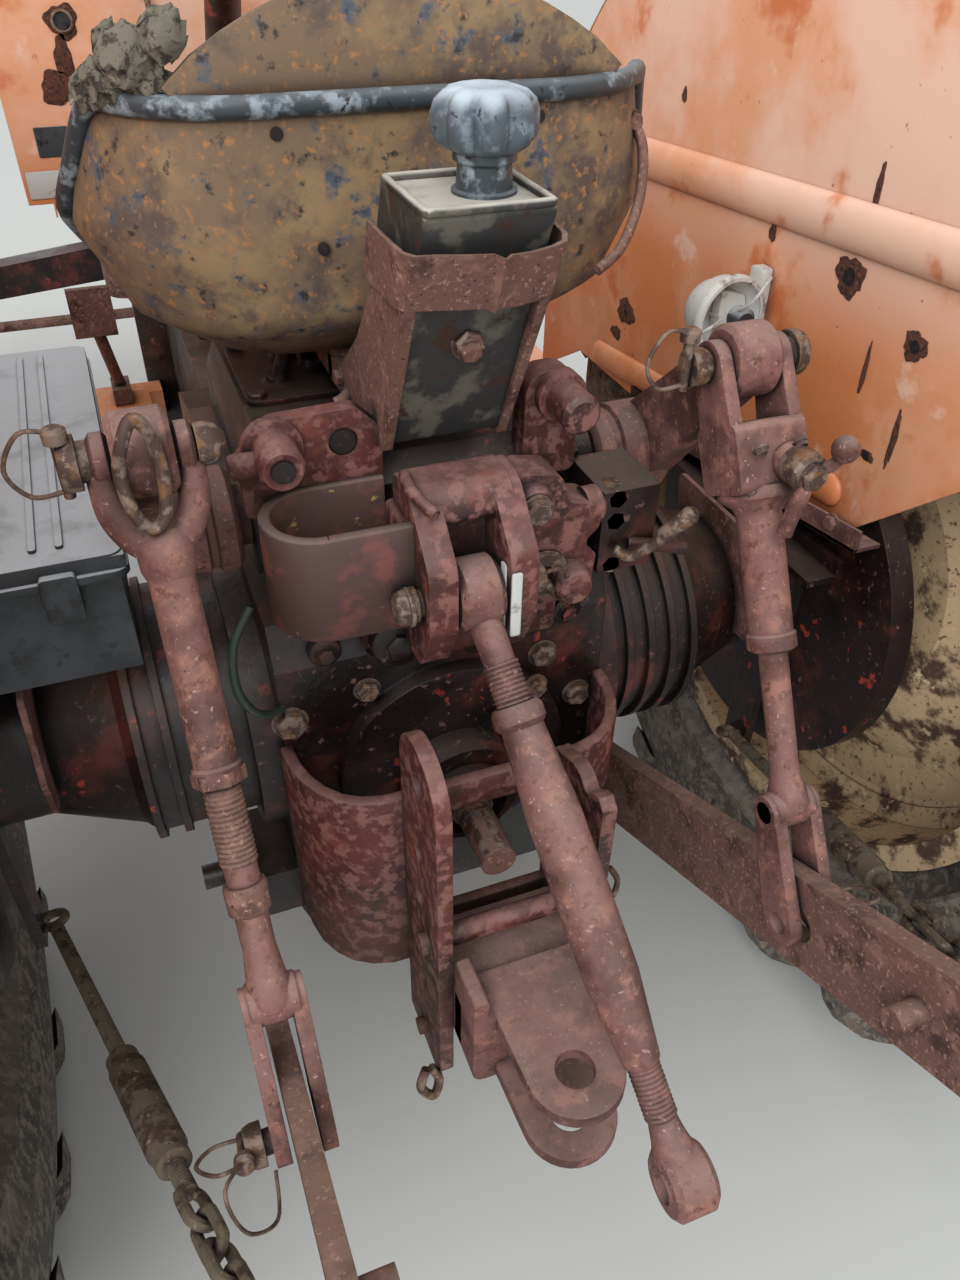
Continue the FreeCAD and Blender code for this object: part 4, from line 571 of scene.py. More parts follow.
chain_steel = weathered("rusted_chain_steel", "#5a5040", 0.85,
    [("#38291f", 20, 0.48, 0.62, 0.9), ("#83765f", 7, 0.58, 0.68, 0.8, 0.05)], [(2, 0.2)],
    corner_shade=("#1b120e", 12))
LINK_PIVOT = Vector((0, -62, 465))  # the lower links' front pins in mm
CHAIN_PITCH = 27.6
for side, label in ((-1, "left"), (1, "right")):
    tab = LINK_PIVOT + (Vector((0, *FEET[side])) - LINK_PIVOT).normalized() * 574
    start, stop = at(side * 284, tab.y, tab.z), at(side * 430, LINK_PIVOT.y, LINK_PIVOT.z)
    chain = (stop - start).normalized()

    def on_chain(along):
        return start + chain * along / 1000

    long, wide, wire = 23, 15, 4.6
    mesh = bmesh.new()
    across = chain.orthogonal().normalized()
    for n in range(5):
        centre = on_chain(11 + CHAIN_PITCH * n)
        broad = across if n % 2 else chain.cross(across)
        loop = []
        for k in range(14):
            t = 2 * pi * k / 14
            end = 1 if cos(t) > 0.01 else -1 if cos(t) < -0.01 else 0
            along = (long - wide) * end + (wide - wire) * cos(t)
            loop.append(centre + chain * along / 1000 + broad * (wide - wire) * sin(t) / 1000)
        tube(mesh, loop, wire, around=8, closed=True, smooth=2)
    far = 28 + CHAIN_PITCH * 4
    length = (stop - start).length * 1000
    thread(mesh, on_chain(far - 2), on_chain(far + 40), 7.5, 3)
    lathe(mesh, on_chain(far + 30), chain, [(0, 11), (3, 14), (16, 14), (20, 16), (130, 16), (134, 14),
        (147, 14), (150, 11)])
    thread(mesh, on_chain(far + 175), on_chain(length - 14), 7.5, 3)
    ring = [stop + (chain * cos(t) + UP.cross(chain).normalized() * sin(t)) * 0.013
        for t in (2 * pi * k / 12 for k in range(12))]
    tube(mesh, ring, 5, around=10, closed=True, smooth=2)
    lathe(mesh, at(side * 262, tab.y, tab.z), RIGHT * side, [(0, 12), (13, 12), (13, 10), (26, 10)])
    bolt(mesh, at(side * 288, tab.y, tab.z), RIGHT * side, 14)
    clevis = [start + UP * 0.016 - chain * 0.004, start + UP * 0.02 + chain * 0.012, start + chain * 0.026,
        start - UP * 0.02 + chain * 0.012, start - UP * 0.016 - chain * 0.004]
    tube(mesh, clevis, 5, around=10)
    made(f"check_chain_links_{label}", mesh, chain_steel, "rusty_steel", [f"check_chain_{label}"],
        body=f"lower_link_{label}_body")

# Wheels
# Cream painted steel rims with dark rust, and old rubber with dried mud.

cream_rim = weathered("cream_painted_rim", "#bda17f", 0.6, [("#4a3226", 60, 0.48, 0.6, 0.8, -0.1),
    ("#cdb592", 20, 0.6, 0.68, 0.6), ("#6b4634", 8, 0.58, 0.66, 0.8)], [(4, 0.2), (1.5, 0.15)],
    corner_shade=("#1d1310", 30))
tyre_rubber = weathered("weathered_tyre_rubber", "#48423d", 0.85,
    [("#6a5f56", 60, 0.48, 0.62, 0.9), ("#2a2724", 30, 0.55, 0.66, 0.8),
    ("#948a80", 7, 0.6, 0.72, 0.95, 0.1), ("#8a7b6a", 26, 0.62, 0.68, 0.95, 0.5)], [(12, 0.5), (1.5, 0.2)],
    dust_and_top_sheen=("#9c9287", 0.4), corner_shade=("#1f1a17", 40), worn="#7d746b")


REAR_X, REAR_RADIUS = 687, 680
FRONT_X, FRONT_RADIUS, WHEELBASE = 690, 395, 2100


def tyre(mesh, hub, wall):
    """Both halves of a carcass, turned round the hub from one half's outline."""
    rows = wall + [(-across, radius) for across, radius in wall[-2::-1]] + wall[:1]
    lathe(mesh, hub, RIGHT, rows, around=96)
    bmesh.ops.remove_doubles(mesh, verts=mesh.verts, dist=0.00001)


def swept_lug(mesh, hub, side, turn):
    """A tread bar from the middle of the tread out over the shoulder, its edges chamfered."""
    stations = [
        # across, top radius, foot radius, share of the slant, half width
        (-6, 680, 634, 0.0, 18), (22, 680.3, 634, 0.13, 18), (62, 679.4, 632, 0.33, 18.5),
        (104, 677.6, 628, 0.57, 19), (140, 675, 622, 0.8, 20), (160, 668, 610, 0.91, 20.5),
        (173, 654, 598, 0.97, 21), (179, 634, 590, 1.0, 22),
    ]
    rings = []
    for across, top, foot, share, half in stations:
        middle = turn + 165 / REAR_RADIUS * share
        outline = [(-half - 6, foot), (-half, top - 4), (4 - half, top), (half - 4, top), (half, top - 4),
            (half + 6, foot)]
        rings.append([mesh.verts.new(hub + Vector((side * across, radius * sin(middle + off / radius),
            -radius * cos(middle + off / radius))) / 1000) for off, radius in outline])
    skin(mesh, rings, capped=True)


REAR_WALL = [
    # mm from the tyre's middle, radius: bead, sidewall with its rim guard and rings, shoulder, crown
    (144, 383), (144.3, 414), (150, 426), (160, 434), (168, 437), (171, 443), (168, 450), (171, 468),
    (175, 484), (177.4, 488), (177.4, 494), (177, 498), (179.4, 530), (178.6, 560), (176, 566),
    (176, 576), (170, 598), (160, 614), (146, 627), (128, 635), (96, 640), (48, 642), (0, 642),
]
FRONT_WALL = [(67.7, 206.5), (68, 229), (74, 236), (84, 241), (86, 246), (84, 251), (91, 275), (94.5, 281),
    (94.5, 285), (97.2, 306), (96.6, 330), (93, 349), (85.5, 361), (77, 371), (68, 379), (59.5, 383),
    (51, 383), (49, 385), (46, 391), (36, 393.6), (27, 392.4), (24.5, 386), (21, 383), (14, 383),
    (11, 386), (9, 394), (0, 395)]
for label, side in (("right", 1), ("left", -1)):
    hub = at(side * REAR_X, 0, REAR_RADIUS)
    mesh = bmesh.new()
    tyre(mesh, hub, REAR_WALL)
    pitch = 2 * pi / 20
    for number in range(20):
        swept_lug(mesh, hub, side, 18 / REAR_RADIUS + pitch * number)
        swept_lug(mesh, hub, -side, 18 / REAR_RADIUS + pitch * (number + 0.5))
    made(f"rear_tread_{label}", mesh, tyre_rubber, "tyre", [f"rear_tyre_{label}"],
        body=f"rear_wheel_{label}_body")
    mesh = bmesh.new()
    tyre(mesh, at(side * FRONT_X, WHEELBASE, FRONT_RADIUS), FRONT_WALL)
    made(f"front_tread_{label}", mesh, tyre_rubber, "tyre", [f"front_tyre_{label}"],
        body=f"front_wheel_{label}_body")

    mesh = bmesh.new()
    out = RIGHT * side
    for number in range(8):
        turn = 2 * pi * (number + 0.5) / 8
        bolt(mesh, at(side * 595, 125 * sin(turn), REAR_RADIUS + 125 * cos(turn)), out, 19)
    tube(mesh, [at(side * 753, 0, 1042), at(side * 771, 0, 1036), at(side * 791, 0, 1028)], 5, around=10)
    made(f"rear_wheel_bolts_{label}", mesh, bolt_steel, "rusty_steel", body=f"rear_wheel_{label}_body")
    mesh = bmesh.new()
    for number in range(6):
        turn = 2 * pi * number / 6
        bolt(mesh, at(side * 724, WHEELBASE + 74 * sin(turn), FRONT_RADIUS + 74 * cos(turn)), out, 14)
    made(f"front_wheel_bolts_{label}", mesh, bolt_steel, "rusty_steel", body=f"front_wheel_{label}_body")
    coat(cream_rim, f"rear_wheel_{label}", f"front_wheel_{label}")


# Fenders, hood and cowl
# Pressed sheet in orange enamel, faded to pink by the sun, with rust at stone chips and holes.

orange_enamel = weathered("faded_orange_enamel", "#d98653", 0.42,
    [("#e6a57f", 260, 0.42, 0.6, 0.42), ("#cf7443", 130, 0.55, 0.68, 0.4),
    ("#ecbfa5", 60, 0.6, 0.72, 0.45), ("#b0643e", 16, 0.68, 0.74, 0.55),
    ("#5c3226", 24, 0.725, 0.74, 0.8, -0.1)], [(60, 0.6), (3, 0.03)], corner_shade=("#7e4630", 18),
    lighter_above=("#f0c8b2", 960, 1130, 0.9))
coat(orange_enamel, "fenders", "hood", "cowl", "grille", "nose_sides", "platforms", "bumper")

# Plastics and small paints
# Sun-bleached plastic of the knob, steering wheel, battery box and lamps, paint on box and spring.

weathered_abs = weathered("weathered_abs_plastic", "#4a545c", 0.4,
    [("#77838b", 18, 0.46, 0.62, 0.55), ("#2b3035", 9, 0.58, 0.66, 0.4)], [(2, 0.08)],
    dust_and_top_sheen=("#b3c1ca", 0.9))
# Its tops turn pale: partly dust, partly painted sheen.
box_plastic = weathered("moulded_polypropylene", "#25282b", 0.5,
    [("#3a3e42", 60, 0.45, 0.62, 0.6), ("#17191b", 25, 0.56, 0.66, 0.4)], [(1.2, 0.06)],
    dust_and_top_sheen=("#b4bcc2", 1.0))
lamp_plastic = weathered("aged_lamp_plastic", "#c6c6c2", 0.45,
    [("#8d8984", 20, 0.54, 0.68, 0.6), ("#5a4a40", 8, 0.66, 0.72, 0.7)], [(2, 0.05)])
# The spring box: black paint with ochre and blue-grey left on the lid.
lid_paint = weathered("chipped_lid_paint", "#2e2e2e", 0.55,
    [("#5a564e", 40, 0.5, 0.62, 0.6), ("#3a2018", 30, 0.56, 0.64, 0.8)], [(3, 0.2)], dust_and_top_sheen=("#b7b3a8", 1.0))
spring_paint = weathered("red_spring_paint", "#4a322d", 0.65,
    [("#6b3e36", 50, 0.5, 0.62, 0.7, 0.1), ("#9a8344", 12, 0.66, 0.7, 0.6)], [(5, 0.2)],
    dust_and_top_sheen=("#8f7f76", 0.4), corner_shade=("#160d0c", 25))
coat(weathered_abs, "seat_knob", "steering_wheel")
coat(box_plastic, "battery_box")
coat(lamp_plastic, "rear_lamp", "headlamps")
coat(lid_paint, "seat_box")
coat(rusty_steel, "seat_frame")
coat(spring_paint, "draft_spring")

# Top link
# Turnbuckle of tube and screw, an eye with a ball at each end, a cross hole for turning it.

mesh = bmesh.new()
LINK_PIN = (-230, 918)  # y and z in mm of the pin in the bracket
head, foot = at(-6, *LINK_PIN), at(46, -575, 562)
run = foot - head
length = run.length * 1000
lathe(mesh, head, run, [(26, 14), (length * 0.17, 13)], 28)
thread(mesh, head + run * 0.125, head + run * 0.205, 15.5, 4)
lathe(mesh, head, run, scaled(length, [(0.195, 19), (0.205, 22), (0.225, 22), (0.235, 18), (0.3, 20),
    (0.38, 23), (0.66, 23), (0.74, 19), (0.8, 16), (0.81, 13)]), 36)
thread(mesh, head + run * 0.8, head + run * 0.9, 14, 4)
lathe(mesh, head, run, scaled(length, [(0.895, 12), (0.93, 15), (0.965, 20), (0.98, 12)]))
for spot, radius in ((head, 30), (foot, 29)):
    lathe(mesh, spot + LEFT * 0.019, RIGHT, [(0, 13), (0, radius - 5), (5, radius), (33, radius),
        (38, radius - 5), (38, 13), (34, 15), (19, 19), (4, 15), (0, 13)], 40)
    lathe(mesh, spot + LEFT * 0.021, RIGHT, [(0, 12.8), (0, 15), (9, 19.5), (21, 21), (33, 19.5), (42, 15),
        (42, 12.8), (0, 12.8)], 32)
made("top_link_turned", mesh, red_brown_steel, "rusty_steel", ["top_link"], body="top_link_body")
# The cross hole is a dark disc of painted shade.
mesh = bmesh.new()
below = run.cross(UP).cross(run).normalized()
lathe(mesh, head + run * 0.565 - below * 0.0225, -below, [(0, 5.5), (1, 5.5)], 20)
made("top_link_cross_hole", mesh, painted_hole_shade, "rusty_steel", body="top_link_body")

# Rocker bracket of the top link
# A cast arch over two ears, bolted to the housing, with the draft control's lobes on its right.

mesh = bmesh.new()
ear = [(-165, 848, 10), (-165, 1005, 10), (-206, 1005, 30), (-254, 957, 26), (-254, 900, 20),
    (-226, 848, 16)]
for x in (-52, 16):
    slab(mesh, "YZ", ear, x, x + 24, bevel=4)
slab(mesh, "YZ", [(-165, 976, 4), (-165, 1006, 8), (-214, 1006, 22), (-222, 976, 8)], -44, 32, bevel=4)
slab(mesh, "XZ", [(-6, 862, 4), (118, 862, 14), (122, 905, 8), (108, 918, 8), (124, 934, 12),
    (120, 956, 12), (92, 962, 6), (84, 990, 14), (52, 996, 14), (30, 990, 4), (-6, 965, 4)], -196, -160,
    bevel=5)
slab(mesh, "XZ", [(-58, 868, 5), (-6, 868), (-6, 975), (-58, 975, 5)], -196, -160, bevel=4)
slab(mesh, "XZ", oblong(-30, 808, 100, 945, 8), -168, -149, bevel=3)
lathe(mesh, at(57, -194, 968), BACK, [(0, 19), (8, 19), (12, 16)], 28)
lathe(mesh, at(96, -194, 884), BACK, [(0, 20), (16, 18), (20, 15)], 28)
lathe(mesh, at(112, -180, 946), RIGHT, [(0, 17), (14, 17), (18, 13)], 28)
tube(mesh, [at(-40, -236, 1000), at(-50, -210, 1008), at(-46, -180, 1006)], 5, around=10)
made("rocker_bracket_cast", mesh, red_iron, "red_iron", ["top_bracket"])
mesh = bmesh.new()
lathe(mesh, at(-70, *LINK_PIN), RIGHT, [(0, 13), (8, 15), (14, 15), (14, 12), (124, 12), (126, 9)], 24)
bolt(mesh, at(-62, -232, 918), LEFT, 15)
bolt(mesh, at(57, -206, 968), BACK, 13)
lathe(mesh, at(70, -196, 896), BACK, [(0, 10), (0, 22), (2, 24), (5, 22), (5, 10), (0, 10)], 28)
tube(mesh, [at(62, -202, 905), at(72, -206, 890), at(82, -203, 876)], 4, around=8)
tube(mesh, [at(46, -212, 880), at(56, -222, 912), at(72, -224, 918), at(86, -214, 904), at(84, -206, 880)],
    1.8, around=8)
made("rocker_bracket_pins", mesh, bolt_steel, "rusty_steel")

# Draft spring
# One flat spring leaf folded back on itself round a bend at the left, yellow paint left on it.


def ribbon(mesh, path, thick, edge=1.5):
    """A flat bar on edge along (x, y, low, high) rows in mm; thick to the left of its run."""
    rings = []
    for n, row in enumerate(path):
        here = Vector(row[:2])
        ahead = Vector(path[min(n + 1, len(path) - 1)][:2])
        behind = Vector(path[max(n - 1, 0)][:2])
        run = (ahead - behind).normalized()
        aside = Vector((-run.y, run.x)) * thick
        near, far = here + aside * (edge / thick), here + aside * (1 - edge / thick)
        section = [(here, row[2] + edge), (here, row[3] - edge), (near, row[3]), (far, row[3]),
            (here + aside, row[3] - edge), (here + aside, row[2] + edge), (far, row[2]), (near, row[2])]
        rings.append([mesh.verts.new(at(spot.x, spot.y, level)) for spot, level in section])
    skin(mesh, rings, capped=True)


def arc(centre, radius, first, last, steps):
    """Points of a round bend between two angles in degrees."""
    turns = [radians(first + (last - first) * k / steps) for k in range(steps + 1)]
    return [(centre[0] + radius * cos(t), centre[1] + radius * sin(t)) for t in turns]


mesh = bmesh.new()
path = [(-52, -220)] + [(-58 - 60 * k / 5, -220) for k in range(6)] + arc((-118, -175), 45, 270, 90, 14)
path += [(-118 + 66 * k / 5, -130) for k in range(1, 6)]
ribbon(mesh, [(x, y, 887 - (x + 58) * 0.03, 984) for x, y in path[::-1]], 10)
made("draft_leaf", mesh, spring_paint, "red_iron", ["draft_spring"], crease=50)

# Lift cover's control plate and stubs
# A chamfered cover plate, its pivot in a bush with a turned rim, and an ear for the arm's stop.

mesh = bmesh.new()
slab(mesh, "XZ", [(-166, 962, 8), (-166, 1016, 8), (-139, 1044, 10), (-70, 1046, 10), (-50, 1026, 8),
    (-50, 960, 6)], -133, -118, [(-82, 1018, 12)], bevel=2)
lathe(mesh, at(-139, -130, 1024), BACK, [(0, 24), (10, 24), (12, 18), (44, 18), (48, 15), (46, 11)], 36)
lathe(mesh, at(-176, -150, 1020), RIGHT, [(0, 8), (3, 10), (30, 10)], 20)
slab(mesh, "XZ", [(76, 955, 6), (126, 955, 8), (126, 1051, 20), (76, 1051, 20)], -132, -106, bevel=4)
lathe(mesh, at(106, -128, 1031), BACK, [(0, 22), (14, 22), (16, 17), (50, 17), (54, 13)], 36)
made("control_plate", mesh, red_iron, "red_iron")
# The plate's hole and the bush's bore are dark discs of painted shade.
mesh = bmesh.new()
lathe(mesh, at(-82, -133.5, 1018), BACK, [(0, 10.5), (0.8, 10.5)], 24)
lathe(mesh, at(-139, -177.5, 1024), BACK, [(0, 9), (1.2, 9)], 24)
made("control_plate_hollows", mesh, painted_hole_shade, "red_iron")

# Drawbar band
# A flat bar bent round the housing, with a window between the hitch plates, bolted at its front ends.


def band_low(y):
    """The band's lower edge, which rises towards its front ends."""
    return 477 + max(y + 193, 0) * 110 / 203


mesh = bmesh.new()
left = [(-170, -150), (-169.5, -162), (-167, -180), (-161, -200), (-151, -219), (-137, -235), (-119, -246),
    (-98, -252), (-68.5, -253)]
for path in (left, [(-x, y) for x, y in left[::-1]]):
    ribbon(mesh, [(x, y, band_low(y), 722) for x, y in path], 12)
for low, high in ((688, 722), (477, 545)):
    ribbon(mesh, [(-70, -253, low, high), (70, -253, low, high)], 12)
made("drawbar_band_bent", mesh, red_iron, "red_iron", ["drawbar_band"], crease=50)

# Hitch frame and jaw
# Two drilled plates welded behind the band, joined by round bars; the right one is torn off short.
# The jaw's tongues take the drawbar pin.

mesh = bmesh.new()
holes = [(-302, 455 + 62 * n, 10) for n in range(5)]
whole = [(-350, 400, 22), (-253.5, 400, 3), (-253.5, 830, 44), (-350, 830, 44)]
slab(mesh, "YZ", whole, -82, -68, holes + [(-302, 790, 13)], bevel=2)
broken = [(-350, 400, 22), (-253.5, 400, 3), (-253.5, 738), (-267, 741), (-290, 752), (-305, 750),
    (-318, 741), (-330, 752), (-340, 756), (-350, 748, 4)]
slab(mesh, "YZ", broken, 68, 82, holes[:4], bevel=2)
for y, z, radius in ((-318, 596, 11), (-302, 430, 9)):
    lathe(mesh, at(-90, y, z), RIGHT, [(0, radius), (180, radius)])
made("hitch_plates", mesh, red_iron, "red_iron", ["hitch_frame"])
mesh = bmesh.new()
PIN_Y = -468
tongue = [(-48, -352), *arc((0, PIN_Y), 44, 180, 360, 16), (48, -352)]
for level in (560, 485):
    slab(mesh, "XY", tongue, level, level + 16, [(0, PIN_Y, 17)], bevel=3)
slab(mesh, "XZ", [(-67.5, 478, 14), (67.5, 478, 14), (67.5, 560), (-67.5, 560)], -370, -274, bevel=3)
saddle = [(-67.5, 478, 14), (67.5, 478, 14), (67.5, 606, 4), (52, 606, 4)]
saddle += [(62 * cos(t), 606 - 44 * sin(t)) for t in (0.5 + 2.14 * k / 10 for k in range(11))]
saddle += [(-52, 606, 4), (-67.5, 606, 4)]
slab(mesh, "XZ", saddle, -402, -353, bevel=3)
made("hitch_jaw_cast", mesh, red_brown_steel, "red_iron", ["hitch_jaw"])
mesh = bmesh.new()
tube(mesh, [at(-96, -346, 424), at(-104, -352, 404), at(-92, -356, 388), at(-84, -350, 404),
    at(-90, -344, 420)], 5, around=10)
tube(mesh, [at(96, -330, 640), at(104, -334, 622), at(98, -338, 606), at(92, -334, 622)], 3, around=8)
made("hitch_wing_nut", mesh, bolt_steel, "rusty_steel")

# Fenders
# A flat inner panel with two pressed ribs, and the band over the tyre, folded at its edge.

FENDER_X, FENDER_WIDTH, FENDER_RADIUS = 457, 372, 762


def fender_arc(radius, steps=48):
    return arc((0, REAR_RADIUS), radius, 31.4, 136.05, steps)


mesh = bmesh.new()
for side in (1, -1):
    x, far = side * FENDER_X, side * (FENDER_X + FENDER_WIDTH)
    panel = [(-143, 826), (255, 769), (513, 769), (650, 690), (650, 1077.7)]
    slab(mesh, "YZ", panel + fender_arc(FENDER_RADIUS, 36)[1:], x, x + side * 4, bevel=0.8)
    outer, inner = fender_arc(FENDER_RADIUS + 1), fender_arc(FENDER_RADIUS - 3)
    slab(mesh, "YZ", outer + inner[::-1], x, far, bevel=0.8)
    tube(mesh, [at(far, y, z) for y, z in fender_arc(FENDER_RADIUS - 5)], 5, around=10, smooth=0)
    for radius, first, last in ((24, (-390, 1134), (463, 1075)), (19, (-118, 854), (463, 790))):
        part = bmesh.new()
        a, b = at(0, *first), at(0, *last)
        span = (b - a).length * 1000
        cap = [(radius - radius * cos(pi * k / 16), radius * sin(pi * k / 16)) for k in range(9)]
        rows = cap + [(span - along, around) for along, around in cap[::-1]]
        lathe(part, a, b - a, rows, 32)
        for vert in part.verts:
            vert.co.x = (x - side * 0.2) / 1000 + vert.co.x * 0.5
        join(mesh, part)
made("fender_pressings", mesh, orange_enamel, "orange_paint", ["fenders"])

# Seat
# Pressed steel bucket, once blue-grey, rusted to ochre. A rubber strip is pushed over its edge,
# and the cushion is gone but for scraps of foam and one strap.

seat_steel = weathered("rusted_seat_pan", "#77624e", 0.75, [("#8f7858", 80, 0.44, 0.62, 0.75),
    ("#584a43", 50, 0.46, 0.64, 0.75), ("#4a5560", 26, 0.56, 0.68, 0.6, 0.03),
    ("#2d2826", 13, 0.58, 0.7, 0.6), ("#a5764a", 7, 0.54, 0.7, 0.85)], [(6, 0.15), (1.5, 0.1)],
    corner_shade=("#3a2a20", 25))
edge_rubber = weathered("seat_edge_rubber", "#353c41", 0.42,
    [("#87929a", 22, 0.52, 0.66, 0.5), ("#1c1c1d", 12, 0.58, 0.66, 0.5)], [(4, 0.2)], dust_and_top_sheen=("#8f999e", 0.3))
foam_rubber = weathered("crumbling_foam_rubber", "#6f6a5c", 0.95,
    [("#3b352d", 9, 0.5, 0.62, 0.95, -0.8), ("#9c9480", 14, 0.6, 0.7, 0.95)], [(5, 1.2), (2, 0.5)])
coat(seat_steel, "seat_pan")


SEAT_LEVELS = [
    # height, half width, rear and front of the pan
    (1045, 157, -13, 285), (1085, 214, -61, 335), (1155, 248, -75, 345), (1365, 190, -87, 353),
]
SEAT_FLOOR = SEAT_LEVELS[0][0]


def seat_point(part, share, z, inset=0.0):
    """A point of the pan in mm: eight runs and corners round it, from the front left, at a level."""
    low, high = next((a, b) for a, b in zip(SEAT_LEVELS, SEAT_LEVELS[1:])
        if z <= b[0] or b is SEAT_LEVELS[-1])
    t = (z - low[0]) / (high[0] - low[0])
    half, rear, front = (low[k] + (high[k] - low[k]) * t for k in (1, 2, 3))
    half, rear, front = half - inset, rear + inset, front - inset
    corner, nose = half * 0.5, half * 0.35
    quarter = share * pi / 2
    x, y = (((nose - half) * (1 - share) + (half - nose) * share, front),
        (half - nose + nose * sin(quarter), front - nose + nose * cos(quarter)),
        (half, (front - nose) * (1 - share) + (rear + corner) * share),
        (half - corner + corner * cos(quarter), rear + corner - corner * sin(quarter)),
        ((half - corner) * (1 - share) + (corner - half) * share, rear),
        (corner - half - corner * sin(quarter), rear + corner - corner * cos(quarter)),
        (-half, (rear + corner) * (1 - share) + (front - nose) * share),
        (-half + nose - nose * cos(quarter), front - nose + nose * sin(quarter)))[part]
    return Vector((x, y, z))


def seat_edge(part, share, inset):
    """The pan's rim: where its side meets the line that drops from the back to the low front."""
    rim = [(375, 1066), (200, 1070), (120, 1092), (73, 1132), (29, 1180), (9, 1224), (-15, 1244),
        (-200, 1246)]
    z = 1150.0
    for _ in range(24):
        y = seat_point(part, share, z, inset).y
        after, before = next((a, b) for a, b in zip(rim, rim[1:]) if y >= b[0])
        s = (y - before[0]) / (after[0] - before[0])
        z += (before[1] + (after[1] - before[1]) * s - z) * 0.5
    return seat_point(part, share, z, inset)


mesh = bmesh.new()
columns = []
for part in range(8):
    for n in range(10):
        rim = seat_edge(part, n / 10, 0)
        rise = (rim.z - SEAT_FLOOR) / 14
        columns.append([seat_point(part, n / 10, SEAT_FLOOR + rise * k) for k in range(15)])
rings = [[mesh.verts.new(at(*column[k])) for column in columns] for k in range(15)]
skin(mesh, rings)
floor_rings = rings[:1]
for share in (0.75, 0.5, 0.25):
    spots = [Vector((0, 130, 0)).lerp(column[0], share) for column in columns]
    floor_rings.append([mesh.verts.new(at(spot.x, spot.y, SEAT_FLOOR - 6 * (1 - share))) for spot in spots])
skin(mesh, floor_rings + [[mesh.verts.new(at(0, 130, SEAT_FLOOR - 7))]])
bmesh.ops.recalc_face_normals(mesh, faces=mesh.faces)
bmesh.ops.solidify(mesh, geom=mesh.faces[:], thickness=0.003)
back = [(-150, 1236), (150, 1236), (172, 1262)]
back += [(172 - 344 * k / 16, 1262 + 66 * sin(pi * k / 16) ** 0.8) for k in range(1, 16)] + [(-172, 1262)]
slab(mesh, "XZ", back, -70, -65, bevel=1)
made("seat_bucket", mesh, seat_steel, "seat_steel", ["seat_pan"], crease=50)

mesh = bmesh.new()
rim_path = [seat_edge(part, n / 10, -1) for part in range(8) for n in range(10)]
tube(mesh, [at(p.x, p.y, p.z + 5) for p in rim_path], 8, around=12, closed=True, smooth=3)
made("seat_edge_strip", mesh, edge_rubber, "black_rubber", ["seat_trim"])

mesh = bmesh.new()
for x, y, z, size in ((-204, -34, 1262, 17), (-188, -48, 1278, 20), (-165, -62, 1292, 16),
        (-216, -14, 1254, 13), (-176, -50, 1262, 14), (-198, -30, 1286, 10)):
    bmesh.ops.create_icosphere(mesh, subdivisions=3, radius=size / 1000,
        matrix=Matrix.Translation(at(x, y, z)))
for vert in mesh.verts:
    rough = sin(vert.co.x * 610) * sin(vert.co.y * 830 + 1) * sin(vert.co.z * 710 + 2)
    fine = sin(vert.co.x * 1900 + 3) * sin(vert.co.z * 2100)
    vert.co += Vector((rough + fine * 0.4, rough * 0.8, fine + rough)) * 0.0035
made("seat_foam_scraps", mesh, foam_rubber, "black_rubber")

# Small drain holes in the back, drawn as dark discs of painted shade, and the strap bolted to the right
# side.
mesh = bmesh.new()
for x, y, z in ((-100, -79.5, 1232), (-72, -77, 1150), (72, -77, 1150), (100, -79.5, 1232)):
    lathe(mesh, at(x, y + 2, z), BACK + DOWN * 0.06, [(0, 4.5), (3.4, 4.5)], 16)
made("seat_back_holes", mesh, painted_hole_shade, "seat_steel")
mesh = bmesh.new()
tube(mesh, [at(206, -30, 1216), at(212, -44, 1196), at(204, -62, 1160), at(178, -86, 1130),
    at(150, -100, 1118)], 4.5, around=10)
bolt(mesh, at(206, -34, 1214), BACK, 8)
made("seat_side_strap", mesh, rusty_steel, "rusty_steel")

# Spring box
# A black leaning case with a rolled rim, red-brown cheeks, and the torn strap bolted round it.

mesh = bmesh.new()
case = [(-146, 1016, 3), (-54, 1016, 3), (-146, 1213, 3), (-238, 1213, 3)]
slab(mesh, "YZ", case, -45, 45, bevel=3)
rim = [(-43, -236), (43, -236), (43, -148), (-43, -148)]
path = []
for n, (x, y) in enumerate(rim):
    after = rim[(n + 1) % 4]
    path += [at(x + (after[0] - x) * t, y + (after[1] - y) * t, 1215) for t in (0.06, 0.5, 0.94)]
tube(mesh, path, 3.2, around=10, closed=True, smooth=3)
made("spring_case", mesh, lid_paint, "black_plastic", ["seat_box"])

mesh = bmesh.new()
cheek = [(-146, 1010, 4), (30, 1001, 4), (30, 1025, 6), (-20, 1032, 20), (-84, 1082, 40), (-162, 1171, 6),
    (-230, 1171, 6)]
for side in (-1, 1):
    slab(mesh, "YZ", cheek, side * 45.3, side * 53, bevel=1.5)
slab(mesh, "XY", oblong(-53, 10, 53, 230, 6), 1003, 1040, bevel=3)
tube(mesh, [at(-52, -40, 1012), at(-60, -46, 1010), at(-66, -46, 1008)], 7, around=12)
for side, y, z in ((1, -20, 1022), (-1, -20, 1022), (1, -110, 1040)):
    bolt(mesh, at(side * 53.94, y, z), RIGHT * side, 8)
made("spring_case_cheeks", mesh, rusty_steel, "rusty_steel", ["seat_frame"])

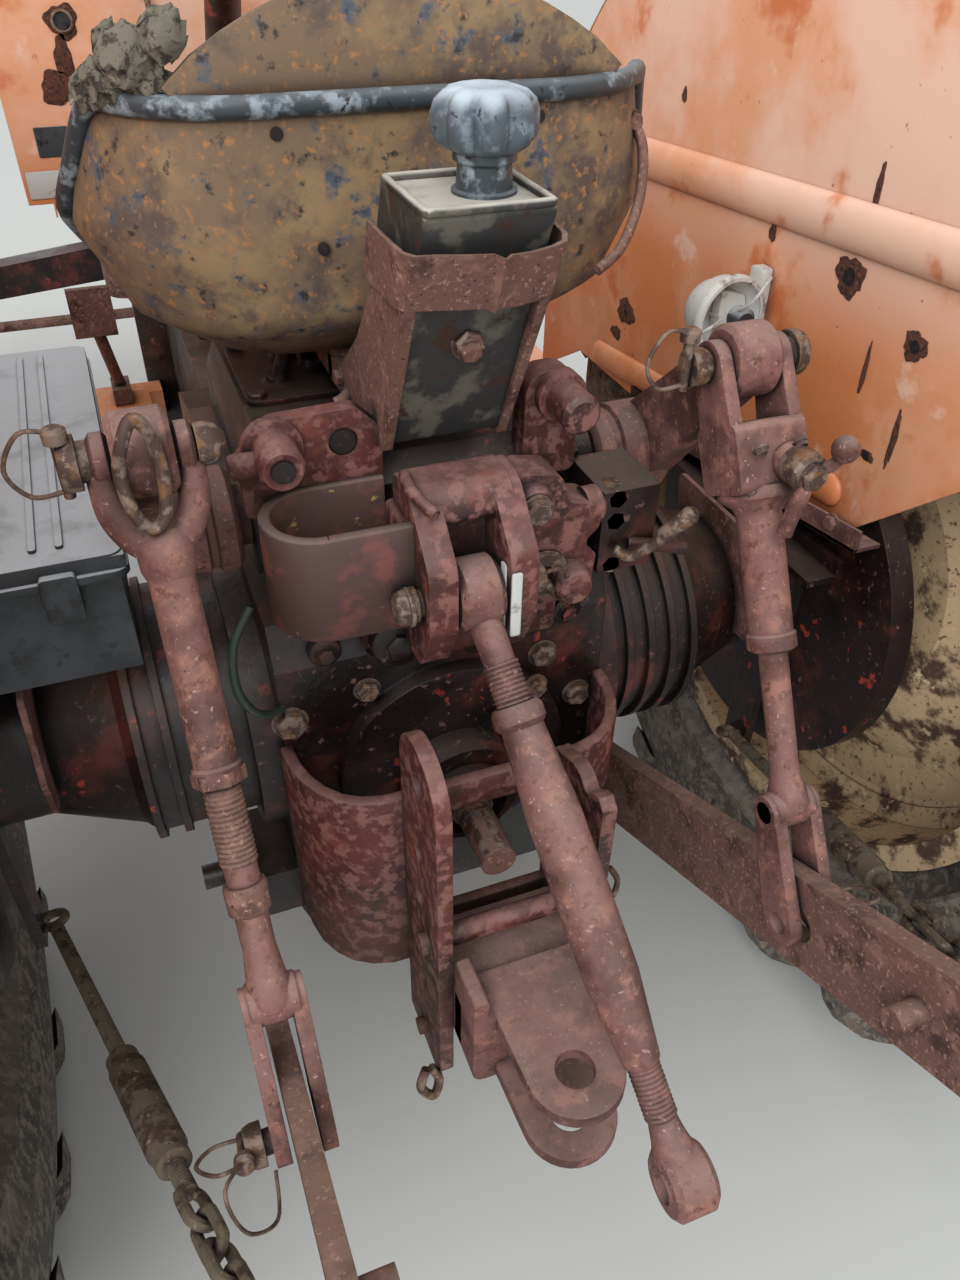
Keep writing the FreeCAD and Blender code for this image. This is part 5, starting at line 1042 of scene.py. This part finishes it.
mesh = bmesh.new()
rings = []
lean = Vector((0, -92, 201)).normalized()
strap_path = [(-58, 30, 0), (-58.5, -5, 0), (-57, -42, 0), (-52, -51, 0), (-40, -52.5, 0), (-16, -53, -2),
    (2, -54, -3), (7, -62, -4), (12, -58, -3), (18, -55, -4), (28, -54, -4), (44, -53, -2), (53, -51, 0),
    (57, -42, 2), (58, -5, 6), (58, 34, 12)]
for x, out, up in strap_path:
    ring = []
    for level, thick in ((0, 0), (46, 0), (46, 3), (0, 3)):
        spot = Vector((x, -164.4 + out, 1148.66 + up)) + lean * level
        grow = 0.955 + thick / 55
        ring.append(mesh.verts.new(at(spot.x * grow, spot.y - thick * (1 if out < -40 else 0), spot.z)))
    rings.append(ring)
skin(mesh, rings, capped=True)
bolt(mesh, at(1.6, -196, 1108), BACK + DOWN * 0.45, 9)
made("spring_case_strap", mesh, rusty_steel, "rusty_steel")

# Knob
# A moulded star knob with eight lobes on a dark threaded collar.

KNOB_X, KNOB_Y = 12, -192
mesh = bmesh.new()
rings = []
for level, radius, depth in ((0, 0, 0), (0, 18, 0), (3, 26, 3), (7, 32, 7), (13, 35.5, 10), (24, 35.5, 10),
        (31, 33, 9), (36, 27, 5), (38, 20, 1), (38.5, 14, 0), (37.5, 12, 0), (37.5, 0, 0)):
    spokes = 96 if radius else 1
    ring = []
    for k in range(spokes):
        t = 2 * pi * k / spokes
        reach = radius - depth * (1 - abs(cos(t * 4 + 0.7)) ** 0.7)
        ring.append(mesh.verts.new(at(KNOB_X + reach * cos(t), KNOB_Y + reach * sin(t), 1237 + level)))
    rings.append(ring)
skin(mesh, rings)
made("star_knob", mesh, weathered_abs, "blue_black_plastic", ["seat_knob"], crease=60)
mesh = bmesh.new()
lathe(mesh, at(KNOB_X, KNOB_Y, 1209), UP, [(0, 22), (6, 22), (7, 19), (22, 18), (24, 21), (29, 21),
    (31, 18)], 36)
made("star_knob_collar", mesh, edge_rubber, "black_plastic")

# Steering wheel
# Moulded rim on three steel spokes, with its hub nut and a length of column.

mesh = bmesh.new()
axis = Vector((0, -0.599, 0.801)).normalized()
hub = at(0, 640, 1345) + axis * 0.08
rise = axis.cross(RIGHT)
rim = [hub + (RIGHT * cos(t) + rise * sin(t)) * 0.199 for t in (2 * pi * k / 48 for k in range(48))]
tube(mesh, rim, lambda s: 12.5 + 1.1 * sin(s * 47 * 2 * pi * 0.75), around=14, closed=True, smooth=3)
made("steering_rim", mesh, weathered_abs, "blue_black_plastic", ["steering_wheel"],
    body="steering_wheel_body")
mesh = bmesh.new()
for t in (radians(turn) for turn in (90, 210, 330)):
    out = RIGHT * cos(t) + rise * sin(t)
    tube(mesh, [hub - axis * 0.02 + out * 0.02, hub - axis * 0.022 + out * 0.1, hub + out * 0.196], 6,
        around=10)
lathe(mesh, hub - axis * 0.1, axis, [(0, 20), (60, 20), (64, 30), (96, 30), (102, 24), (102, 12),
    (112, 11)], 32)
made("steering_spokes", mesh, rusty_steel, "rusty_steel", body="steering_wheel_body")

# Rear lamp
# A work lamp with its lens gone: open grey bowl on a bracket, dark socket, two short stiff wire ends.

mesh = bmesh.new()
lathe(mesh, at(400, 52, 992), Vector((-0.15, 1, 0)), [(0, 40), (0, 44), (3, 46), (8, 46), (10, 43),
    (26, 40), (44, 30), (52, 18), (52, 0), (48, 0), (46, 16), (36, 27), (14, 36), (4, 39), (0, 40)], 40)
slab(mesh, "XZ", [(398, 968, 4), (444, 980, 4), (444, 1004, 4), (398, 1016, 4)], 74, 88, bevel=3)
slab(mesh, "YZ", oblong(70, 962, 92, 1034, 4), 443, 456.5, bevel=2)
tube(mesh, [at(412, 72, 990), at(416, 44, 1010), at(428, 40, 1030), at(445, 56, 1030), at(452, 72, 1018)],
    1.8, around=8)
tube(mesh, [at(392, 84, 988), at(384, 50, 994), at(366, 46, 986), at(362, 66, 972), at(378, 76, 966)], 1.8,
    around=8)
made("work_lamp_bowl", mesh, lamp_plastic, "lamp_grey", ["rear_lamp"])
mesh = bmesh.new()
lathe(mesh, at(422, 74, 984), BACK, [(0, 13), (14, 14), (18, 10)], 28)
made("work_lamp_socket", mesh, box_plastic, "black_plastic")

# Fender stays, holes and rust
# An angle iron under the panel's edge, a triangular stay plate, and holes left by a missing lamp.

mesh = bmesh.new()
for side in (-1, 1):
    for rise, end in ((5, 456.5), (26, 428)):
        angle = [(-190, 832), (255, 764), (255, 764 + rise), (-190, 832 + rise)]
        slab(mesh, "YZ", angle, side * 424, side * end, bevel=0.8)
    slab(mesh, "YZ", [(72, 800, 8), (38, 677, 10), (-118, 672, 14), (-126, 722, 10), (-96, 800, 8)],
        side * 376, side * 382, [(-60, 712, 7)], bevel=1.2)
    bolt(mesh, at(side * 424, -150, 846), LEFT * side, 9)
    bolt(mesh, at(side * 424, 200, 788), LEFT * side, 9)
made("fender_stays", mesh, red_brown_steel, "rusty_steel")


def ragged(a, b, wide, tall, waves):
    """An oval outline whose radius swells by rows of (share, waves round it, phase)."""
    spots = []
    for k in range(30):
        t = 2 * pi * k / 30
        swell = sum((share * sin(count * t + phase) for share, count, phase in waves), 1)
        spots.append((a + wide * swell * cos(t), b + tall * swell * sin(t)))
    return spots


rust_scab = weathered("fender_rust_scab", "#5a3325", 0.9, [("#32201b", 6, 0.46, 0.6, 0.9),
    ("#93563a", 4, 0.58, 0.68, 0.85)], [(3, 0.4)])
scabs = bmesh.new()
# The holes through the panel are dark discs of painted shade.
hollows = bmesh.new()
for y, z, across, tall, hole in (
    # place on the panel, half width and height of the rust, radius of the hole through it
    (-50, 1064, 21, 19, 9), (-158, 1034, 15, 14, 6), (381, 877, 24, 17, 5), (404, 839, 15, 9, 0),
    (84, 1069, 6, 10, 0), (-103, 989, 3, 26, 0), (-136, 911, 12, 5, 5), (-165, 942, 4, 30, 0),
    (298, 1165, 5, 8, 0), (-60, 1150, 4, 20, 0),
):
    points = ragged(y, z, across, tall, ((0.12, 3, y), (0.08, 7, z), (0.05, 13, 0)))
    slab(scabs, "YZ", points, FENDER_X - 0.8, FENDER_X + 0.1, bevel=0.2)
    if hole:
        lathe(hollows, at(FENDER_X - 0.6, y, z), LEFT, [(0, hole), (0.4, hole)], 20)
made("fender_rust_patches", scabs, rust_scab, "orange_paint")
made("fender_holes", hollows, painted_hole_shade, "orange_paint")

# Dash panel
# Worn patches, a hole with its ring, the stop pull, and two bare plates whose print is gone.

DASH_Y = 860
mesh = bmesh.new()
for x, z, across, tall in ((-202, 1193, 21, 21), (-224, 1112, 26, 22), (-210, 1150, 12, 26)):
    points = ragged(x, z, across, tall, ((0.14, 3, x), (0.07, 7, 0)))
    slab(mesh, "XZ", points, DASH_Y - 0.8, DASH_Y + 0.3, bevel=0.2)
made("dash_worn_patches", mesh, rust_scab, "orange_paint")
mesh = bmesh.new()
lathe(mesh, at(-202, DASH_Y - 0.4, 1193), BACK, [(0, 11), (0, 15), (3, 15), (4, 12), (3, 11), (0, 11)], 28)
tube(mesh, [at(-86, 862, 1226), at(-86, 842, 1218), at(-85, 832, 1196), at(-85, 832, 1180)], 4, around=10)
lathe(mesh, at(-85, 832, 1170), UP, [(0, 8), (4, 10), (14, 9), (18, 5)], 20)
made("dash_fittings", mesh, bolt_steel, "rusty_steel")
# The dash hole is a dark disc of painted shade inside its ring; the black plate is its own colour.
mesh = bmesh.new()
lathe(mesh, at(-202, DASH_Y - 0.6, 1193), BACK, [(0, 10.5), (0.6, 10.5)], 24)
slab(mesh, "XZ", oblong(-272, 1024, -226, 1064, 2), DASH_Y - 1.4, DASH_Y - 0.1, bevel=0.3)
made("dash_black_plate", mesh, box_plastic, "black_plastic")
mesh = bmesh.new()
slab(mesh, "XZ", oblong(-298, 968, -246, 1006, 3), DASH_Y - 1.4, DASH_Y - 0.1, bevel=0.3)
made("dash_pale_plate", mesh, lamp_plastic, "lamp_grey")

# Battery box lid
# Moulded ribs and a lip round the polypropylene lid, and its two latches.

mesh = bmesh.new()
slab(mesh, "XY", oblong(-444, -138, -264, 296, 12), 941, 957, bevel=4)
for x in (-420, -400, -330, -310):
    slab(mesh, "XY", oblong(x - 3, -118, x + 3, 276, 3), 956, 960, bevel=1.2)
slab(mesh, "XY", oblong(-446, -142, -262, 300, 12), 936, 943, bevel=2)
for x in (-392, -316):
    slab(mesh, "XZ", oblong(x - 14, 905, x + 14, 948, 4), -145, -130, bevel=2)
made("battery_lid", mesh, box_plastic, "black_plastic")

# Small fittings round the bracket
# A bare maker's strip, the control cylinder under the leaf, a pipe and the valve's lever.

mesh = bmesh.new()
slab(mesh, "YZ", oblong(-246, 880, -236, 948, 3), 14.2, 15.6, bevel=0.3)
slab(mesh, "XZ", oblong(16, 884, 25, 946, 2), -256.2, -254.4, bevel=0.3)
made("bracket_pale_strip", mesh, lamp_plastic, "lamp_grey")
mesh = bmesh.new()
lathe(mesh, at(-56, -148, 838), BACK, [(0, 30), (14, 30), (18, 25), (30, 25), (33, 20)], 36)
lathe(mesh, at(-56, -180, 838), BACK, [(0, 14), (6, 14), (8, 11)], 6)
for x, z in ((-118, 826), (-104, 868), (30, 800), (120, 812)):
    lathe(mesh, at(x, -148, z), BACK, [(0, 15), (6, 15), (8, 12)], 28)
    bolt(mesh, at(x, -156, z), BACK, 9)
made("housing_cylinder", mesh, greasy_iron, "greasy_iron")
pipe_paint = weathered("green_pipe_paint", "#2c3b33", 0.5, [("#5b4a35", 10, 0.55, 0.66, 0.7)], [(3, 0.1)])
mesh = bmesh.new()
tube(mesh, [at(-176, -150, 890), at(-196, -160, 860), at(-200, -168, 820), at(-188, -170, 790),
    at(-168, -156, 772), at(-160, -146, 770)], 4, around=10)
made("brake_pipe", mesh, pipe_paint, "greasy_iron")
mesh = bmesh.new()
tube(mesh, [at(140, -196, 905), at(152, -204, 900), at(166, -216, 916), at(176, -224, 932)], 5, around=10)
lathe(mesh, at(172, -221, 927), Vector((10, -8, 16)), [(0, 7), (4, 8), (34, 8), (38, 5)], 18)
for z in (884, 930, 952):
    lathe(mesh, at(142, -168, z), BACK, [(0, 12), (12, 12), (14, 9), (22, 9)], 6)
made("valve_fittings", mesh, bolt_steel, "rusty_steel")

# Shaft splines and the gear levers' gate
# Straight splines cut into the shaft's end, and the greasy cover the levers stand in.

mesh = bmesh.new()
SHAFT_Z = 642
splines = [(17.6 if k % 12 < 7 else 14.8, 2 * pi * k / 72) for k in range(72)]
rings = []
for y, share in ((-288, 0.93), (-286, 1.0), (-236, 1.0), (-232, 0.96)):
    rings.append([mesh.verts.new(at(r * share * cos(t), y, SHAFT_Z + r * share * sin(t)))
        for r, t in splines])
skin(mesh, rings, capped=True)
lathe(mesh, at(0, -236, SHAFT_Z), -BACK, [(0, 17.8), (36, 18)], 36)
made("shaft_splines", mesh, bolt_steel, "rusty_steel", body="pto_shaft_body")
mesh = bmesh.new()
for x, y, turn in ((-96, 60, 0.2), (-60, 90, -0.1), (-30, 64, 0.3), (-78, 120, -0.2)):
    foot = at(x, y, 984)
    tube(mesh, [foot, foot + Vector((turn * 0.02, -0.004, 0.022)),
        foot + Vector((turn * 0.06, -0.012, 0.05))], 7, around=10)
    lathe(mesh, at(x, y, 984), UP, [(0, 16), (6, 16), (8, 12), (14, 11)], 20)
slab(mesh, "XY", oblong(-132, 20, -4, 160, 14), 984, 990, bevel=2)
for x, y in ((-122, 30), (-14, 30), (-122, 150), (-14, 150), (110, 40), (110, 200), (-140, 210)):
    bolt(mesh, at(x, y, 989 if y < 160 and x < 0 else 984), UP, 9)
made("lever_gate", mesh, greasy_iron, "greasy_iron")

# Sizes
# The box round every shown piece but the floor.

low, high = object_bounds()
